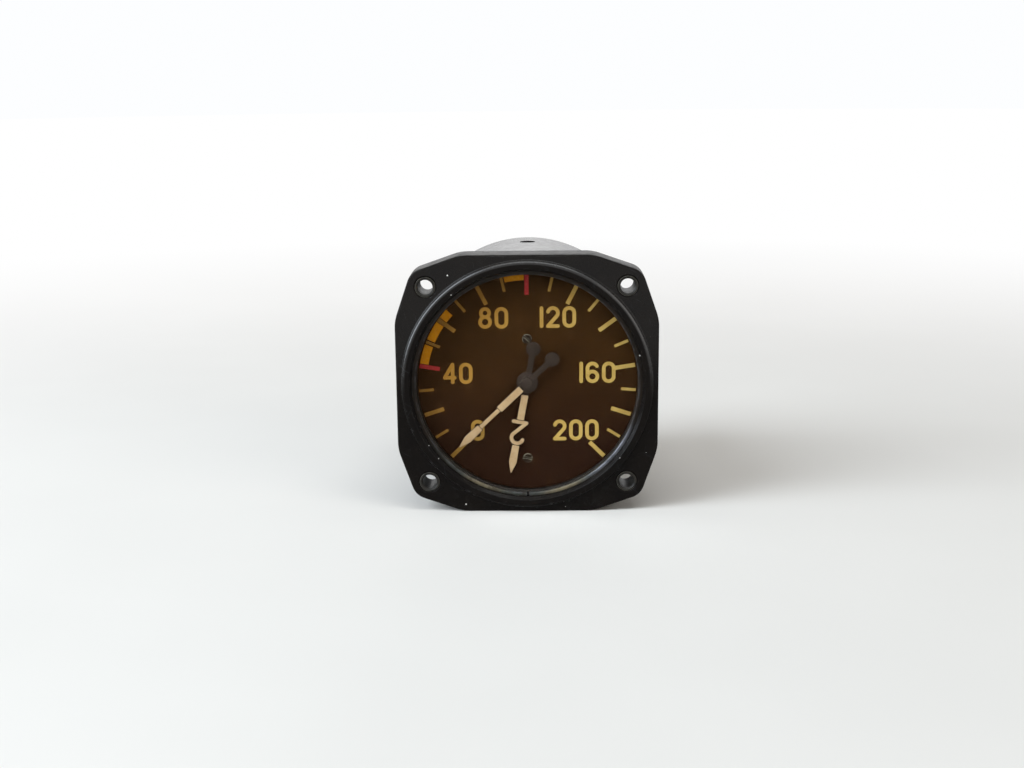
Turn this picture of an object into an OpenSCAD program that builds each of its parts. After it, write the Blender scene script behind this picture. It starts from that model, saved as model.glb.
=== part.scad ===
// Twin-pointer aircraft oil pressure gauge, 3 1/8 inch panel size, in millimetres.
// Origin: centre of the flange's front face. +X right, +Y into the panel, +Z up.
// The dial faces -Y. Two curved pressure tubes drive two pointers on one axis.

/* [Case] */
// Radius of the round case body and of the panel register lip
case_r = 39.69; // [39:0.01:41]
// Depth of the case behind the flange's front face
case_depth = 60; // [57:0.5:75]
// Wall of the round case body
case_wall = 3.4; // [2.8:0.1:3.8]
// Radial width of the lip around the glass
rim_w = 3.4; // [3.2:0.05:3.6]
// How far the flange's flats stand out past the case body
flange_over = 1.585; // [1.4:0.005:3]
// Thickness of the flange
flange_t = 11; // [8:0.5:14]
// Straight stretch in the middle of each flange edge
flange_flat = 41.6; // [36:0.2:46]
// Radius that blends the straight stretch into the sloping edge
flange_blend_r = 14; // [6:1:18]
// Radius of each corner lug around its hole
lug_r = 5.8; // [5:0.1:7]
// Distance from the case body out to the centre of a mounting hole
hole_out = 4.76; // [4.4:0.01:5.4]
// Radius of the mounting holes
hole_r = 2.3; // [1.8:0.05:2.5]
// Wall of the metal bushing in each lug
bushing_wall = 0.9; // [0.8:0.05:1.5]
// Chamfer at the mouth of each bushing
bushing_chamfer = 0.4; // [0.2:0.05:0.6]
// How far the register lip stands in front of the flange
lip_h = 1.5; // [1:0.1:2.5]
// Rounding of the lip's outer edge
lip_round = 1.1; // [0.4:0.1:1.4]
// Radial width of the bevel on the lip's inner edge
lip_bevel = 0.9; // [0.3:0.1:1.2]
// Rounding of the case's rear edge
rear_round = 1; // [0.4:0.1:1.6]

/* [Window] */
// Radial width of the seat that the glass stack rests on
glass_seat = 1.3; // [1.1:0.05:1.5]
// Thickness of the cover glass
glass_t = 2; // [1.6:0.1:2.6]
// Radial clearance of the glass in its seat
glass_fit = 0.3; // [0.15:0.05:0.4]
// Thickness of the gasket behind the glass
gasket_t = 0.8; // [0.5:0.1:1.2]
// Thickness of the split retaining ring
ring_t = 1.2; // [0.8:0.1:1.6]
// Depth of the ring's front face behind the flange face
ring_depth = 0.2; // [0:0.1:0.8]
// How deep the ring's groove is cut into the case
ring_groove = 0.9; // [0.5:0.1:1.1]
// Radial clearance of the ring in its groove
ring_fit = 0.1; // [0.05:0.05:0.2]
// Gap between the ends of the split ring
ring_split = 0.8; // [0.6:0.1:4]
// Thickness of the ledge behind the gasket
ledge_t = 1.4; // [1:0.1:2]

/* [Dial] */
// Air gap between the ledge and the dial
dial_gap = 0.4; // [0.3:0.1:0.8]
// Thickness of the dial plate
dial_t = 0.8; // [0.6:0.1:1.2]
// Radial clearance of the dial in the case
dial_fit = 0.5; // [0.3:0.1:0.8]
// Height of the painted markings over the dial
paint_t = 0.1; // [0.06:0.01:0.15]
// Sweep of the scale
scale_sweep = 270; // [240:5:280]
// Number of scale divisions
scale_steps = 20; // [20:2:24]
// Gap between the window's edge and the scale marks
scale_gap = 0.4; // [0.2:0.1:1]
// Length of a long scale mark
major_len = 6.5; // [5:0.1:8]
// Width of a long scale mark
major_w = 1.3; // [1:0.1:2]
// Length of a short scale mark
minor_len = 4.7; // [3:0.1:6]
// Width of a short scale mark
minor_w = 0.9; // [0.7:0.05:1.6]
// Radial width of the range band
band_w = 2.7; // [1.5:0.1:3.5]
// Gap between the range band and a scale mark
band_gap = 0.25; // [0.15:0.05:0.5]
// Height of a numeral
digit_h = 6.9; // [5:0.1:8]
// Width of a numeral
digit_w = 4.3; // [3:0.1:5]
// Stroke of a numeral
digit_stroke = 1.15; // [0.6:0.05:1.4]
// Gap between two numerals
digit_gap = 0.85; // [0.5:0.05:1.2]
// Height of the upper dial screw above the centre
dial_screw_up = 14; // [13:0.5:14.5]
// Depth of the lower dial screw below the centre
dial_screw_down = 25; // [24:0.5:26]
// Radius of a dial screw's head
dial_screw_head_r = 1.5; // [1.4:0.1:2]
// Thickness of a dial screw's head
dial_screw_head_t = 0.5; // [0.4:0.05:0.6]
// Radius of a dial screw's shank
dial_screw_r = 0.9; // [0.6:0.1:1.1]
// Clear space round the hollow arbor in the dial's middle hole
dial_hole_fit = 0.9; // [0.5:0.1:1.4]
// Width of the slots in the small screws' heads
slot_w = 0.4; // [0.3:0.05:0.5]

/* [Pointers] */
// Angle of pointer 1 at rest, clockwise from the top
pointer_1_rest = -133.7; // [-135:0.1:-120]
// Angle of pointer 2 at rest, clockwise from the top
pointer_2_rest = -169.5; // [-170:0.1:-120]
// Distance from a pointer's tip to the outer end of the scale marks
pointer_gap = 4.1; // [2:0.1:6]
// Thickness of a pointer
pointer_t = 0.35; // [0.25:0.05:0.4]
// Air gap between the dial and pointer 2
pointer_2_gap = 0.65; // [0.6:0.05:0.7]
// Air gap between the two pointers
pointer_1_gap = 0.5; // [0.45:0.05:0.55]
// Width of a pointer's base bar
pointer_w = 2.2; // [1.6:0.1:2.8]
// Distance from the centre to the end of the base bar
pointer_bar_end = 12.4; // [10:0.1:13]
// Length of a pointer's arrow from its shoulders to its tip
arrow_len = 3.9; // [3:0.1:5]
// Length of the arrow's shaft, from the figure to the shoulders
arrow_shaft_len = 5.6; // [4:0.1:6.5]
// Width across the shoulders of the tip
shoulder_w = 2.5; // [2:0.1:3.4]
// Distance from the centre to the counterweight disc
tail_len = 11; // [9:0.1:12.5]
// Radius of the counterweight disc
tail_disc_r = 2.3; // [1.6:0.1:3]
// Width of the tail
tail_w = 1.8; // [1.2:0.1:2.2]
// Radius of pointer 1's hub
hub_1_r = 1.8; // [1.4:0.1:2.2]
// Radius of pointer 2's hub
hub_2_r = 3.4; // [2.8:0.1:3.9]
// Radius of the boss behind pointer 2
hub_2_back_r = 2.4; // [2:0.1:2.8]
// Metal edge left around the pointer's paint
pointer_edge = 0.15; // [0.1:0.05:0.3]

/* [Movement] */
// Teeth of each pinion
pinion_teeth = 10; // [10:1:11]
// Teeth of each sector if it were a full wheel
sector_teeth = 90; // [87:1:92]
// Play between the teeth, on the pitch circle
backlash = 0.1; // [0.06:0.01:0.14]
// Half the angle that a sector's toothed rim covers
sector_half = 27; // [25:1:28]
// Distance from a sector's arbor to its tail pin
sector_tail = 7; // [6:0.1:7.2]
// Thickness of a toothed sector
sector_t = 1.2; // [0.8:0.1:1.5]
// Radius of a sector's arbor between its pivots
sector_arbor_r = 1; // [0.9:0.05:1.3]
// Thickness of a movement plate
plate_t = 1.2; // [0.8:0.1:1.6]
// Gap between the movement plates and the sockets
plate_gap = 1.8; // [1.4:0.1:2.4]
// Distance from a sector's arbor to the edge of the plates
arbor_edge = 4.2; // [4:0.1:4.6]
// Gap between neighbouring movement plates
cell_h = 9.8; // [9.6:0.1:11]
// Length of the posts that carry the dial
dial_post_len = 2.2; // [2:0.1:3]
// Radius of the dial posts
dial_post_r = 2.2; // [1.8:0.1:2.6]
// Radius of the movement pillars
pillar_r = 2; // [1.8:0.1:2.2]
// Distance from a pillar's centre to the edge of the plates
pillar_edge = 2.6; // [2.4:0.1:3]
// Wall of pointer 2's hollow arbor, in modules of its pinion
hollow_wall = 1.4; // [1.2:0.05:1.6]
// Radial clearance between the solid arbor and the hollow one
arbor_fit = 0.08; // [0.05:0.01:0.1]
// How far the hollow arbor lies below the roots of its pinion, in modules
arbor_step = 0.45; // [0.35:0.05:0.65]
// Running clearance of a pivot in its hole, on the radius
pivot_fit = 0.05; // [0.03:0.01:0.08]
// Radius of a sector arbor's pivot
pivot_r = 0.5; // [0.4:0.05:0.7]
// Thickness of a link
link_t = 0.8; // [0.6:0.1:1]
// Radius of the link pins
link_pin_r = 0.8; // [0.6:0.05:0.9]
// Clearance at the link's tube end, on the radius
link_end_fit = 0.35; // [0.3:0.05:0.4]
// Turns of a hairspring
hairspring_turns = 7; // [4:1:8]
// Distance between neighbouring turns of a hairspring
hairspring_pitch = 0.7; // [0.55:0.05:0.75]
// Thickness of the hairspring strip
hairspring_t = 0.14; // [0.1:0.01:0.2]
// Width of the hairspring strip
hairspring_w = 1; // [0.6:0.1:1.4]

/* [Pressure tubes] */
// How far the tube's middle line lies outside the socket's centre
tube_offset = 2.8; // [2.6:0.1:3]
// Radial thickness of the flattened tube
tube_t = 3.2; // [2.6:0.1:3.4]
// Width of the flattened tube
tube_w = 7; // [6:0.1:7.4]
// Wall of the pressure tube
tube_wall = 0.4; // [0.3:0.05:0.6]
// Direction of pointer 1's tube root, counter-clockwise from +X
root_1 = 235; // [233:1:237]
// Direction of pointer 2's tube root, counter-clockwise from +X
root_2 = 305; // [303:1:307]
// Angle from a tube's root back to its sector's arbor
root_to_arbor = 230; // [228:1:232]
// Angle that the tube ends ahead of its link pin
tip_lead = 6; // [5:0.5:8]
// Distance from the tip block to its link pin
ear_reach = 2.3; // [2.2:0.1:2.8]
// Wall of the tip block around the tube
tip_wall = 0.8; // [0.6:0.1:0.9]
// Gap between a socket's shoulder and the base's spigot
socket_gap = 0.59; // [0.4:0.01:1]
// Radius of a socket's post
socket_r = 5; // [4.8:0.1:5.2]
// Radius of a socket's shoulder inside the base
shoulder_r = 7.1; // [6.8:0.1:7.2]
// Radius of a socket's shank through the base
shank_r = 6; // [5.8:0.1:6.2]
// Radius of the inlet's bore
inlet_r = 4.3; // [3.8:0.1:4.6]
// Depth of the inlet's bore
inlet_depth = 10; // [8:0.5:12]
// How far an inlet stands behind the case
inlet_out = 8; // [6:0.5:12]
// Width across the flats of the inlet nuts
nut_af = 16; // [15:0.5:18]
// Thickness of the inlet nuts
nut_t = 3.6; // [2.5:0.1:5]
// Radius of the passage through a socket
passage_r = 1.2; // [0.8:0.1:1.4]

/* [Rear base] */
// Thickness of the rear base
base_t = 3.5; // [3:0.1:4.5]
// Radial clearance of the base in the case
base_fit = 0.2; // [0.1:0.05:0.25]
// Length of the base's spigot inside the case
spigot_len = 14; // [13:0.5:15]
// Wall of the spigot
spigot_wall = 2.4; // [2:0.1:2.5]
// Distance of the radial case screws ahead of the rear edge
case_screw_from_rear = 13.5; // [12:0.1:14]
// Number of radial case screws
case_screws_n = 4; // [3:1:6]
// Radius of a radial case screw's shank
case_screw_r = 1.4; // [1:0.1:1.6]
// Radius of a radial case screw's head
case_screw_head_r = 2.6; // [2.2:0.1:3]
// Width of the rubber seal around the spigot
seal_w = 2; // [1.5:0.1:2.6]
// Radius of the base screws' shanks
base_screw_r = 1.2; // [0.9:0.1:1.4]

/* [Hidden] */
$fn = 96;

flange_half = case_r + flange_over;
hole_at = (case_r + hole_out) / sqrt(2);
bushing_r = hole_r + bushing_wall;
bore_r = case_r - case_wall;
glass_bore_r = case_r - rim_w;
glass_r = glass_bore_r - glass_fit;
window_r = glass_bore_r - glass_seat;

// Depth stack, front to back
ring_y = ring_depth;
glass_y = ring_y + ring_t;
gasket_y = glass_y + glass_t;
ledge_y = gasket_y + gasket_t;
dial_y = ledge_y + ledge_t + dial_gap;
dial_back = dial_y + dial_t;
pointer_2_y = dial_y - pointer_2_gap - pointer_t;
pointer_1_y = pointer_2_y - pointer_1_gap - pointer_t;
front_plate_y = dial_back + dial_post_len;
front_cell_y = front_plate_y + plate_t;
middle_plate_y = front_cell_y + cell_h;
rear_cell_y = middle_plate_y + plate_t;
back_plate_y = rear_cell_y + cell_h;
movement_back = back_plate_y + plate_t;
base_y = case_depth - base_t;
case_screw_y = case_depth - case_screw_from_rear;
case_screw_top = case_r - 0.35;
case_slot_w = 0.6;
// How far a case screw's tip stands out inside the spigot
case_screw_past = 0.8;

// Dial
dial_r = bore_r - dial_fit;
scale_r = window_r - scale_gap;
step_angle = scale_sweep / scale_steps;
dial_screw_fit = 0.1;
dial_screw_z = [dial_screw_up, -dial_screw_down];

// Sockets and tubes stand inside the base's spigot, and the movement between them
spigot_r = bore_r - base_fit;
spigot_y = base_y - spigot_len;
socket_at = spigot_r - spigot_wall - socket_gap - shoulder_r;
tube_r = socket_at + tube_offset;
plate_r = socket_at - socket_r - plate_gap;
pillar_at = plate_r - pillar_edge;

// Gears
arbor_at = plate_r - arbor_edge;
gear_ratio = sector_teeth / pinion_teeth;
gear_module = 2 * arbor_at / (pinion_teeth + sector_teeth);
pinion_rp = gear_module * pinion_teeth / 2;
sector_rp = gear_module * sector_teeth / 2;
pressure_angle = 20;
sector_addendum = 0.6 * gear_module;
sector_dedendum = 1.3 * gear_module;
pinion_addendum = gear_module;
pinion_dedendum = 0.88 * gear_module;
pinion_root_r = pinion_rp - pinion_dedendum;
hollow_arbor_r = pinion_root_r - arbor_step * gear_module;
hollow_bore_r = hollow_arbor_r - hollow_wall * gear_module;
arbor_r = hollow_bore_r - arbor_fit;

// Pointers
pointer_len = scale_r - pointer_gap;
shoulder_at = pointer_len - arrow_len;
figure_end = shoulder_at - arrow_shaft_len;
figure_gap = 0.2;
figure_start = pointer_bar_end + figure_gap;
figure_1_w = pointer_w * 0.57;
figure_2_w = 1.15;
figure_2_r = 1.85;
figure_2_foot_half = 2.1;
bar_1_start = 2.7;
bar_2_start = 4.2;
// Narrow webs that join the bar, the figure and the tip
web_w = 1;
web_lap = 0.8;
pointer_paint_t = 0.08;
bush_1_r = arbor_r + 0.5;
bush_2_r = hollow_arbor_r + 0.4;
hub_1_front = pointer_1_y - pointer_t;
hub_1_back = pointer_1_y + pointer_t + 0.25;
hub_2_back = pointer_2_y + pointer_t + 0.4;

sector_tip_r = sector_rp + sector_addendum;
sector_root_r = sector_rp - sector_dedendum;
tooth_w = PI * gear_module / 2 - backlash / 2;

// Places inside one cell of the movement, behind its front plate
collet_dy = 0.4;
collet_h = 2;
collet_slot = 0.3;
hairspring_dy = 0.8;
sector_dy = 4.6;
pinion_dy = 4;
pinion_h = 2.6;
link_dy = sector_dy + sector_t + 0.2;
pin_head_t = 0.6;
tube_dy = sector_dy + sector_t / 2;
end_shake = 0.15;
sector_hub_r = 2.6;
sector_rim = 1.8;
sector_arm_w = 2.6;
// Half angle of the sector's middle spoke, and angle of its outer spokes
spoke_half = 6;
spoke_edge = 7;
tail_eye_r = 1.8;
link_w = 2.2;
link_eye_r = link_pin_r + link_end_fit + 0.55;
pin_head_over = 0.6;
// Collars that hold the sector on its arbor
front_collar = [2, 0.8];
rear_collar = [1.7, 0.5];
lug_w = 2 * (dial_post_r + 0.6);

// One entry per movement: front of its cell, arbor direction, tube root direction, pointer at rest
cell_front = [rear_cell_y, front_cell_y];
root_angle = [root_1, root_2];
pointer_rest = [pointer_1_rest, pointer_2_rest];
function arbor_angle(i) = root_angle[i] - root_to_arbor;
// Turn of a sector from mid travel, counter-clockwise
function sector_rest(i) = pointer_rest[i] / gear_ratio;
function polar(r, a) = [r * cos(a), r * sin(a)];
function arbor_pos(i) = polar(arbor_at, arbor_angle(i));
function tail_pos(i) = arbor_pos(i) + polar(sector_tail, arbor_angle(i) + sector_rest(i));
// Sideways swing of the tail pin at the lowest point of its arc
function tail_swing(i) = sector_tail * (1 - cos(sector_rest(i)));
// The tube's link pin runs on a straight line that halves the tail pin's sideways swing
function tip_out(i) = arbor_at + sector_tail - tail_swing(i) / 2;
function tip_along(i) = sqrt(pow(tip_pin_at, 2) - pow(tip_out(i), 2));
function link_len(i) = tip_along(i) - sector_tail * sector_rest(i) * PI / 180;
function tip_pos(i) = polar(tip_out(i), arbor_angle(i)) + polar(tip_along(i), arbor_angle(i) + 90);
function tip_angle(i) = arbor_angle(i) + atan2(tip_along(i), tip_out(i));
function tube_end(i) = tip_angle(i) + tip_lead;
function socket_pos(i) = polar(socket_at, root_angle[i]);

tube_in = tube_r - tube_t / 2;
tube_out = tube_r + tube_t / 2;
tip_block_in = tube_in - tip_wall;
tip_block_out = tube_out + tip_wall;
tip_block_half = tube_w / 2 + tip_wall;
tip_pin_at = tip_block_in - ear_reach;
// Angles of the tip block that are closed and that lap over the tube
tip_closed = 8;
tip_lap = 7;
ear_lap = 0.4;
socket_wall = 0.8;
restrictor_len = 2.8;
restrictor_bore = 0.3;
restrictor_r = passage_r + 0.5;
seal_from_base = 3;
seal_y = base_y - seal_from_base - seal_w;
seal_depth = 1.2;
socket_back = case_depth + inlet_out;
shoulder_t = 3;
pillar_angles = [30, 150, 270];
stud_r = 1;
stud_len = 3;
plate_screw_head_r = 1.8;
plate_screw_head_t = 0.9;
base_screw_in = 5;
base_screw_head_t = 1.3;
base_screw_head_r = base_screw_r + 1;
base_screw_pocket = 1.8;
base_screw_pocket_r = base_screw_head_r + 0.2;
base_inset = 0.3;

// Turned round the case axis: profile points are [radius, depth]
module lathe() {
    rotate([-90, 0, 0]) rotate_extrude() children();
}

// Flat shape seen from the front, from depth y0 to depth y1
module slab(y0, y1) {
    translate([0, y1, 0]) rotate([90, 0, 0]) linear_extrude(y1 - y0) children();
}

// Turns its children clockwise, as seen from the front
module clockwise(a) {
    rotate([0, a, 0]) children();
}

// A disc or ring from depth y0 to depth y1
module disc(r, y0, y1, bore = 0) {
    slab(y0, y1) difference() {
        circle(r);
        if (bore > 0) circle(bore);
    }
}

module at(p) {
    translate([p[0], 0, p[1]]) children();
}

module corners() {
    for (x = [-1, 1], z = [-1, 1]) at([x * hole_at, z * hole_at]) children();
}

module ring_2d(r_out, r_in) {
    difference() {
        circle(r_out);
        circle(r_in);
    }
}

// Pie slice between two directions, less than half a turn apart
module slice_2d(r, a0, a1) {
    reach = r / cos((a1 - a0) / 4) / cos((a1 - a0) / 4);
    polygon([[0, 0], polar(reach, a0), polar(reach, (3 * a0 + a1) / 4), polar(reach, (a0 + a1) / 2),
        polar(reach, (a0 + 3 * a1) / 4), polar(reach, a1)]);
}

// Flat arc between two directions, made in two halves that overlap
module arc_2d(r_mid, w, a0, a1) {
    middle = (a0 + a1) / 2;
    lap = min(1, (a1 - a0) / 4);
    intersection() {
        ring_2d(r_mid + w / 2, r_mid - w / 2);
        union() {
            slice_2d(r_mid + w, a0, middle + lap);
            slice_2d(r_mid + w, middle - lap, a1);
        }
    }
}

// Straight stroke with round ends
module stroke_2d(p, q, w) {
    d = q - p;
    translate(p) rotate(atan2(d[1], d[0])) translate([0, -w / 2]) square([norm(d), w]);
    translate(p) circle(w / 2);
    translate(q) circle(w / 2);
}

// Case
// Where the sloping edge leaves the lug, measured from the lug's centre
flat_end = flange_flat / 2;
edge_run = [hole_at - flat_end, flange_half - hole_at];
edge_slope = atan2(edge_run[1], edge_run[0]) - asin(lug_r / norm(edge_run));
lug_touch = [hole_at + lug_r * sin(edge_slope), hole_at + lug_r * cos(edge_slope)];
blend_len = flange_blend_r * tan(edge_slope / 2);

module flange_side() {
    slope_x = flat_end + blend_len * cos(edge_slope);
    slope_z = flange_half - blend_len * sin(edge_slope);
    polygon([[0, 0], [hole_at, hole_at], lug_touch, [slope_x, slope_z],
        [flat_end - blend_len, flange_half], [-flat_end + blend_len, flange_half],
        [-slope_x, slope_z], [-lug_touch[0], lug_touch[1]], [-hole_at, hole_at]]);
    for (s = [-1, 1])
        translate([s * (flat_end - blend_len), flange_half - flange_blend_r]) circle(flange_blend_r);
}

module flange_2d() {
    for (a = [0:90:270]) rotate(a) {
        flange_side();
        translate([hole_at, hole_at]) circle(lug_r);
    }
}

module body_2d() {
    square([case_r, case_depth - rear_round]);
    square([case_r - rear_round, case_depth]);
    translate([case_r - rear_round, case_depth - rear_round]) circle(rear_round);
    translate([0, -lip_h]) square([case_r - lip_round, lip_h + 1]);
    translate([0, lip_round - lip_h]) square([case_r, lip_h]);
    translate([case_r - lip_round, lip_round - lip_h]) circle(lip_round);
}

module case_bore_2d() {
    bevel_run = 0.7 * lip_h;
    translate([0, -lip_h - 1]) square([glass_bore_r, ledge_y + lip_h + 1]);
    translate([0, -lip_h]) polygon([[0, -bevel_run], [glass_bore_r + 2 * lip_bevel, -bevel_run],
        [glass_bore_r, bevel_run], [0, bevel_run]]);
    translate([0, ring_y]) square([glass_bore_r + ring_groove, ring_t]);
    translate([0, -lip_h - 1]) square([window_r, case_depth]);
    translate([0, ledge_y + ledge_t]) square([bore_r, case_depth]);
}

module case_screw_places() {
    for (k = [0:case_screws_n - 1])
        rotate([0, k * 360 / case_screws_n, 0]) translate([0, case_screw_y, 0]) children();
}

module case() {
    color([0.07, 0.075, 0.08]) difference() {
        union() {
            slab(0, flange_t) flange_2d();
            lathe() body_2d();
        }
        lathe() case_bore_2d();
        corners() disc(bushing_r, -1, flange_t + 1);
        case_screw_places() case_screw_hole();
    }
}

module flange_bushings() {
    color([0.16, 0.15, 0.13]) corners() difference() {
        disc(bushing_r, 0, flange_t);
        disc(hole_r, -1, flange_t + 1);
        translate([0, bushing_chamfer, 0]) rotate([90, 0, 0])
            cylinder(h = 2 * bushing_chamfer, r1 = hole_r, r2 = hole_r + 2 * bushing_chamfer);
    }
}

// Window
module retaining_ring() {
    ring_r = glass_bore_r + ring_groove - ring_fit;
    color([0.32, 0.29, 0.2]) difference() {
        disc(ring_r, ring_y, ring_y + ring_t, window_r + ring_fit);
        translate([-ring_split / 2, ring_y - 1, -ring_r - 1])
            cube([ring_split, ring_t + 2, ring_r - window_r + 2]);
    }
}

module cover_glass() {
    color([0.8, 0.9, 0.9, 0.25]) disc(glass_r, glass_y, glass_y + glass_t);
}

module glass_gasket() {
    color([0.12, 0.1, 0.08]) disc(glass_r, gasket_y, gasket_y + gasket_t, window_r + ring_fit);
}

// Dial
module dial_plate() {
    color([0.09, 0.065, 0.045]) slab(dial_y, dial_back) difference() {
        circle(dial_r);
        circle(hollow_arbor_r + dial_hole_fit);
        for (z = dial_screw_z) translate([0, z]) circle(dial_screw_r + dial_screw_fit);
    }
}

// Directions where the bowl of a 2 starts and ends, and where the top of a 6 starts
bowl_start = 165;
bowl_end = -32;
hook_start = 28;

// Plain rounded numerals, each centred on its own box
module digit_1() {
    stroke_2d([0, -digit_h / 2 + digit_stroke / 2], [0, digit_h / 2 - digit_stroke / 2], digit_stroke);
}

module digit_0() {
    r = digit_w / 2;
    straight = digit_h / 2 - r;
    difference() {
        stroke_2d([0, -straight], [0, straight], digit_w);
        stroke_2d([0, -straight], [0, straight], digit_w - 2 * digit_stroke);
    }
}

module digit_2() {
    r = (digit_w - digit_stroke) / 2;
    top = digit_h / 2 - digit_stroke / 2 - r;
    foot = -digit_h / 2 + digit_stroke / 2;
    turn_end = polar(r, bowl_end) + [0, top];
    translate([0, top]) arc_2d(r, digit_stroke, bowl_end, bowl_start);
    translate([0, top] + polar(r, bowl_start)) circle(digit_stroke / 2);
    stroke_2d(turn_end, [-r, foot], digit_stroke);
    stroke_2d([-r, foot], [r, foot], digit_stroke);
}

module digit_4() {
    top = digit_h / 2 - digit_stroke / 2;
    bar = -digit_h * 0.2;
    stem = digit_w * 0.22;
    left = -digit_w / 2 + digit_stroke / 2;
    stroke_2d([stem, -top], [stem, top], digit_stroke);
    stroke_2d([stem, top], [left, bar], digit_stroke);
    stroke_2d([left, bar], [digit_w / 2 - digit_stroke / 2, bar], digit_stroke);
}

module digit_6() {
    r = (digit_w - digit_stroke) / 2;
    low = -digit_h / 2 + digit_stroke / 2 + r;
    high = digit_h / 2 - digit_stroke / 2 - r;
    translate([0, low]) ring_2d(r + digit_stroke / 2, r - digit_stroke / 2);
    stroke_2d([-r, low], [-r, high], digit_stroke);
    translate([0, high]) arc_2d(r, digit_stroke, hook_start, 181);
    translate([0, high] + polar(r, hook_start)) circle(digit_stroke / 2);
}

module digit_8() {
    r_low = (digit_w - digit_stroke) / 2;
    r_high = (digit_h - digit_stroke) / 2 - r_low;
    translate([0, -digit_h / 2 + digit_stroke / 2 + r_low])
        ring_2d(r_low + digit_stroke / 2, r_low - digit_stroke / 2);
    translate([0, digit_h / 2 - digit_stroke / 2 - r_high])
        ring_2d(r_high + digit_stroke / 2, r_high - digit_stroke / 2);
}

module digit(d) {
    if (d == 0) digit_0();
    if (d == 1) digit_1();
    if (d == 2) digit_2();
    if (d == 4) digit_4();
    if (d == 6) digit_6();
    if (d == 8) digit_8();
}

function digit_width(d) = d == 1 ? digit_stroke : digit_w;
// Width of the first n digits with the gaps before the next one
function run_width(digits, n) = n == 0 ? 0
    : run_width(digits, n - 1) + digit_width(digits[n - 1]) + digit_gap;

module number(digits, centre) {
    total = run_width(digits, len(digits)) - digit_gap;
    for (k = [0:len(digits) - 1])
        translate([centre[0] - total / 2 + run_width(digits, k) + digit_width(digits[k]) / 2, centre[1]])
            digit(digits[k]);
}

// Each number's digits, its direction clockwise from the top and how far inside the scale it stands
numbers = [
    [[0], -134.6, 12.1],
    [[4, 0], -82.5, 12.3],
    [[8, 0], -27, 11.3],
    [[1, 2, 0], 25.1, 11.5],
    [[1, 6, 0], 82.3, 12.1],
    [[2, 0, 0], 135.7, 12.5]
];

// Clockwise direction of a scale mark, from the top
function mark_angle(k) = -scale_sweep / 2 + k * step_angle;
// The two long marks that carry the limits
low_limit = 4;
high_limit = 10;

module mark_2d(k) {
    long = k % 2 == 0;
    w = long ? major_w : minor_w;
    l = long ? major_len : minor_len;
    rotate(-mark_angle(k)) translate([-w / 2, scale_r - l]) square([w, l]);
}

module dial_markings() {
    color([0.78, 0.62, 0.24]) slab(dial_y - paint_t, dial_y) {
        for (k = [0:scale_steps]) if (k != low_limit && k != high_limit) mark_2d(k);
        for (n = numbers) number(n[0], polar(scale_r - n[2], 90 - n[1]));
    }
}

// Band cut back from the marks by a small gap; an end half way between two marks isn't cut back
module band_block(from_k, to_k, width) {
    gap = asin((major_w / 2 + band_gap) / scale_r);
    end_gap = to_k == floor(to_k) ? gap : 0;
    arc_2d(scale_r - width / 2, width, 90 - mark_angle(to_k) + end_gap, 90 - mark_angle(from_k) - gap);
}

module range_bands() {
    color([0.8, 0.5, 0.05]) slab(dial_y - paint_t, dial_y) {
        band_block(low_limit, low_limit + 1, band_w);
        band_block(low_limit + 1, low_limit + 2, band_w);
        band_block(low_limit + 2, low_limit + 2.5, band_w);
        band_block(high_limit - 1, high_limit, band_w * 0.7);
    }
}

module range_limits() {
    color([0.75, 0.08, 0.08]) slab(dial_y - paint_t, dial_y) {
        mark_2d(low_limit);
        mark_2d(high_limit);
    }
}

module dial_screws() {
    color([0.1, 0.1, 0.1]) for (z = dial_screw_z) at([0, z]) difference() {
        union() {
            disc(dial_screw_head_r, dial_y - dial_screw_head_t, dial_y);
            disc(dial_screw_r, dial_y, front_plate_y);
        }
        clockwise(40) translate([-slot_w / 2, dial_y - dial_screw_head_t - 1, -dial_screw_head_r])
            cube([slot_w, 1 + dial_screw_head_t / 2, 2 * dial_screw_head_r]);
    }
}

module dial_posts() {
    color([0.72, 0.58, 0.3]) for (z = dial_screw_z)
        at([0, z]) disc(dial_post_r, dial_back, front_plate_y, dial_screw_r);
}

// Pointers, drawn pointing up
module tip_2d(grow) {
    half_w = pointer_w / 2 + grow;
    half_s = shoulder_w / 2 + grow;
    polygon([[-half_w, figure_end - grow], [half_w, figure_end - grow], [half_s, shoulder_at],
        [0, pointer_len + 2 * grow], [-half_s, shoulder_at]]);
}

module bar_2d(start, grow) {
    translate([-pointer_w / 2 - grow, start - grow])
        square([pointer_w + 2 * grow, pointer_bar_end - start + 2 * grow]);
}

module tail_2d() {
    translate([-tail_w / 2, -tail_len]) square([tail_w, tail_len]);
    translate([0, -tail_len]) circle(tail_disc_r);
}

module figure_1_2d(grow) {
    w = figure_1_w + 2 * grow;
    translate([-w / 2, figure_start - grow]) square([w, figure_end - figure_start - figure_gap + 2 * grow]);
}

module figure_2_2d(grow) {
    w = figure_2_w + 2 * grow;
    foot = figure_start + figure_2_w / 2;
    top = figure_end - figure_gap - figure_2_w / 2 - figure_2_r;
    translate([0, top]) arc_2d(figure_2_r, w, bowl_end, bowl_start);
    translate([0, top] + polar(figure_2_r, bowl_start)) circle(w / 2);
    stroke_2d(polar(figure_2_r, bowl_end) + [0, top], [-figure_2_foot_half, foot], w);
    stroke_2d([-figure_2_foot_half, foot], [figure_2_foot_half, foot], w);
}

// Webs behind the paint's gaps, on each side of the figure
module webs_2d() {
    for (r = [figure_start, figure_end])
        translate([-web_w / 2, r - web_lap]) square([web_w, 2 * web_lap]);
}

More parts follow.
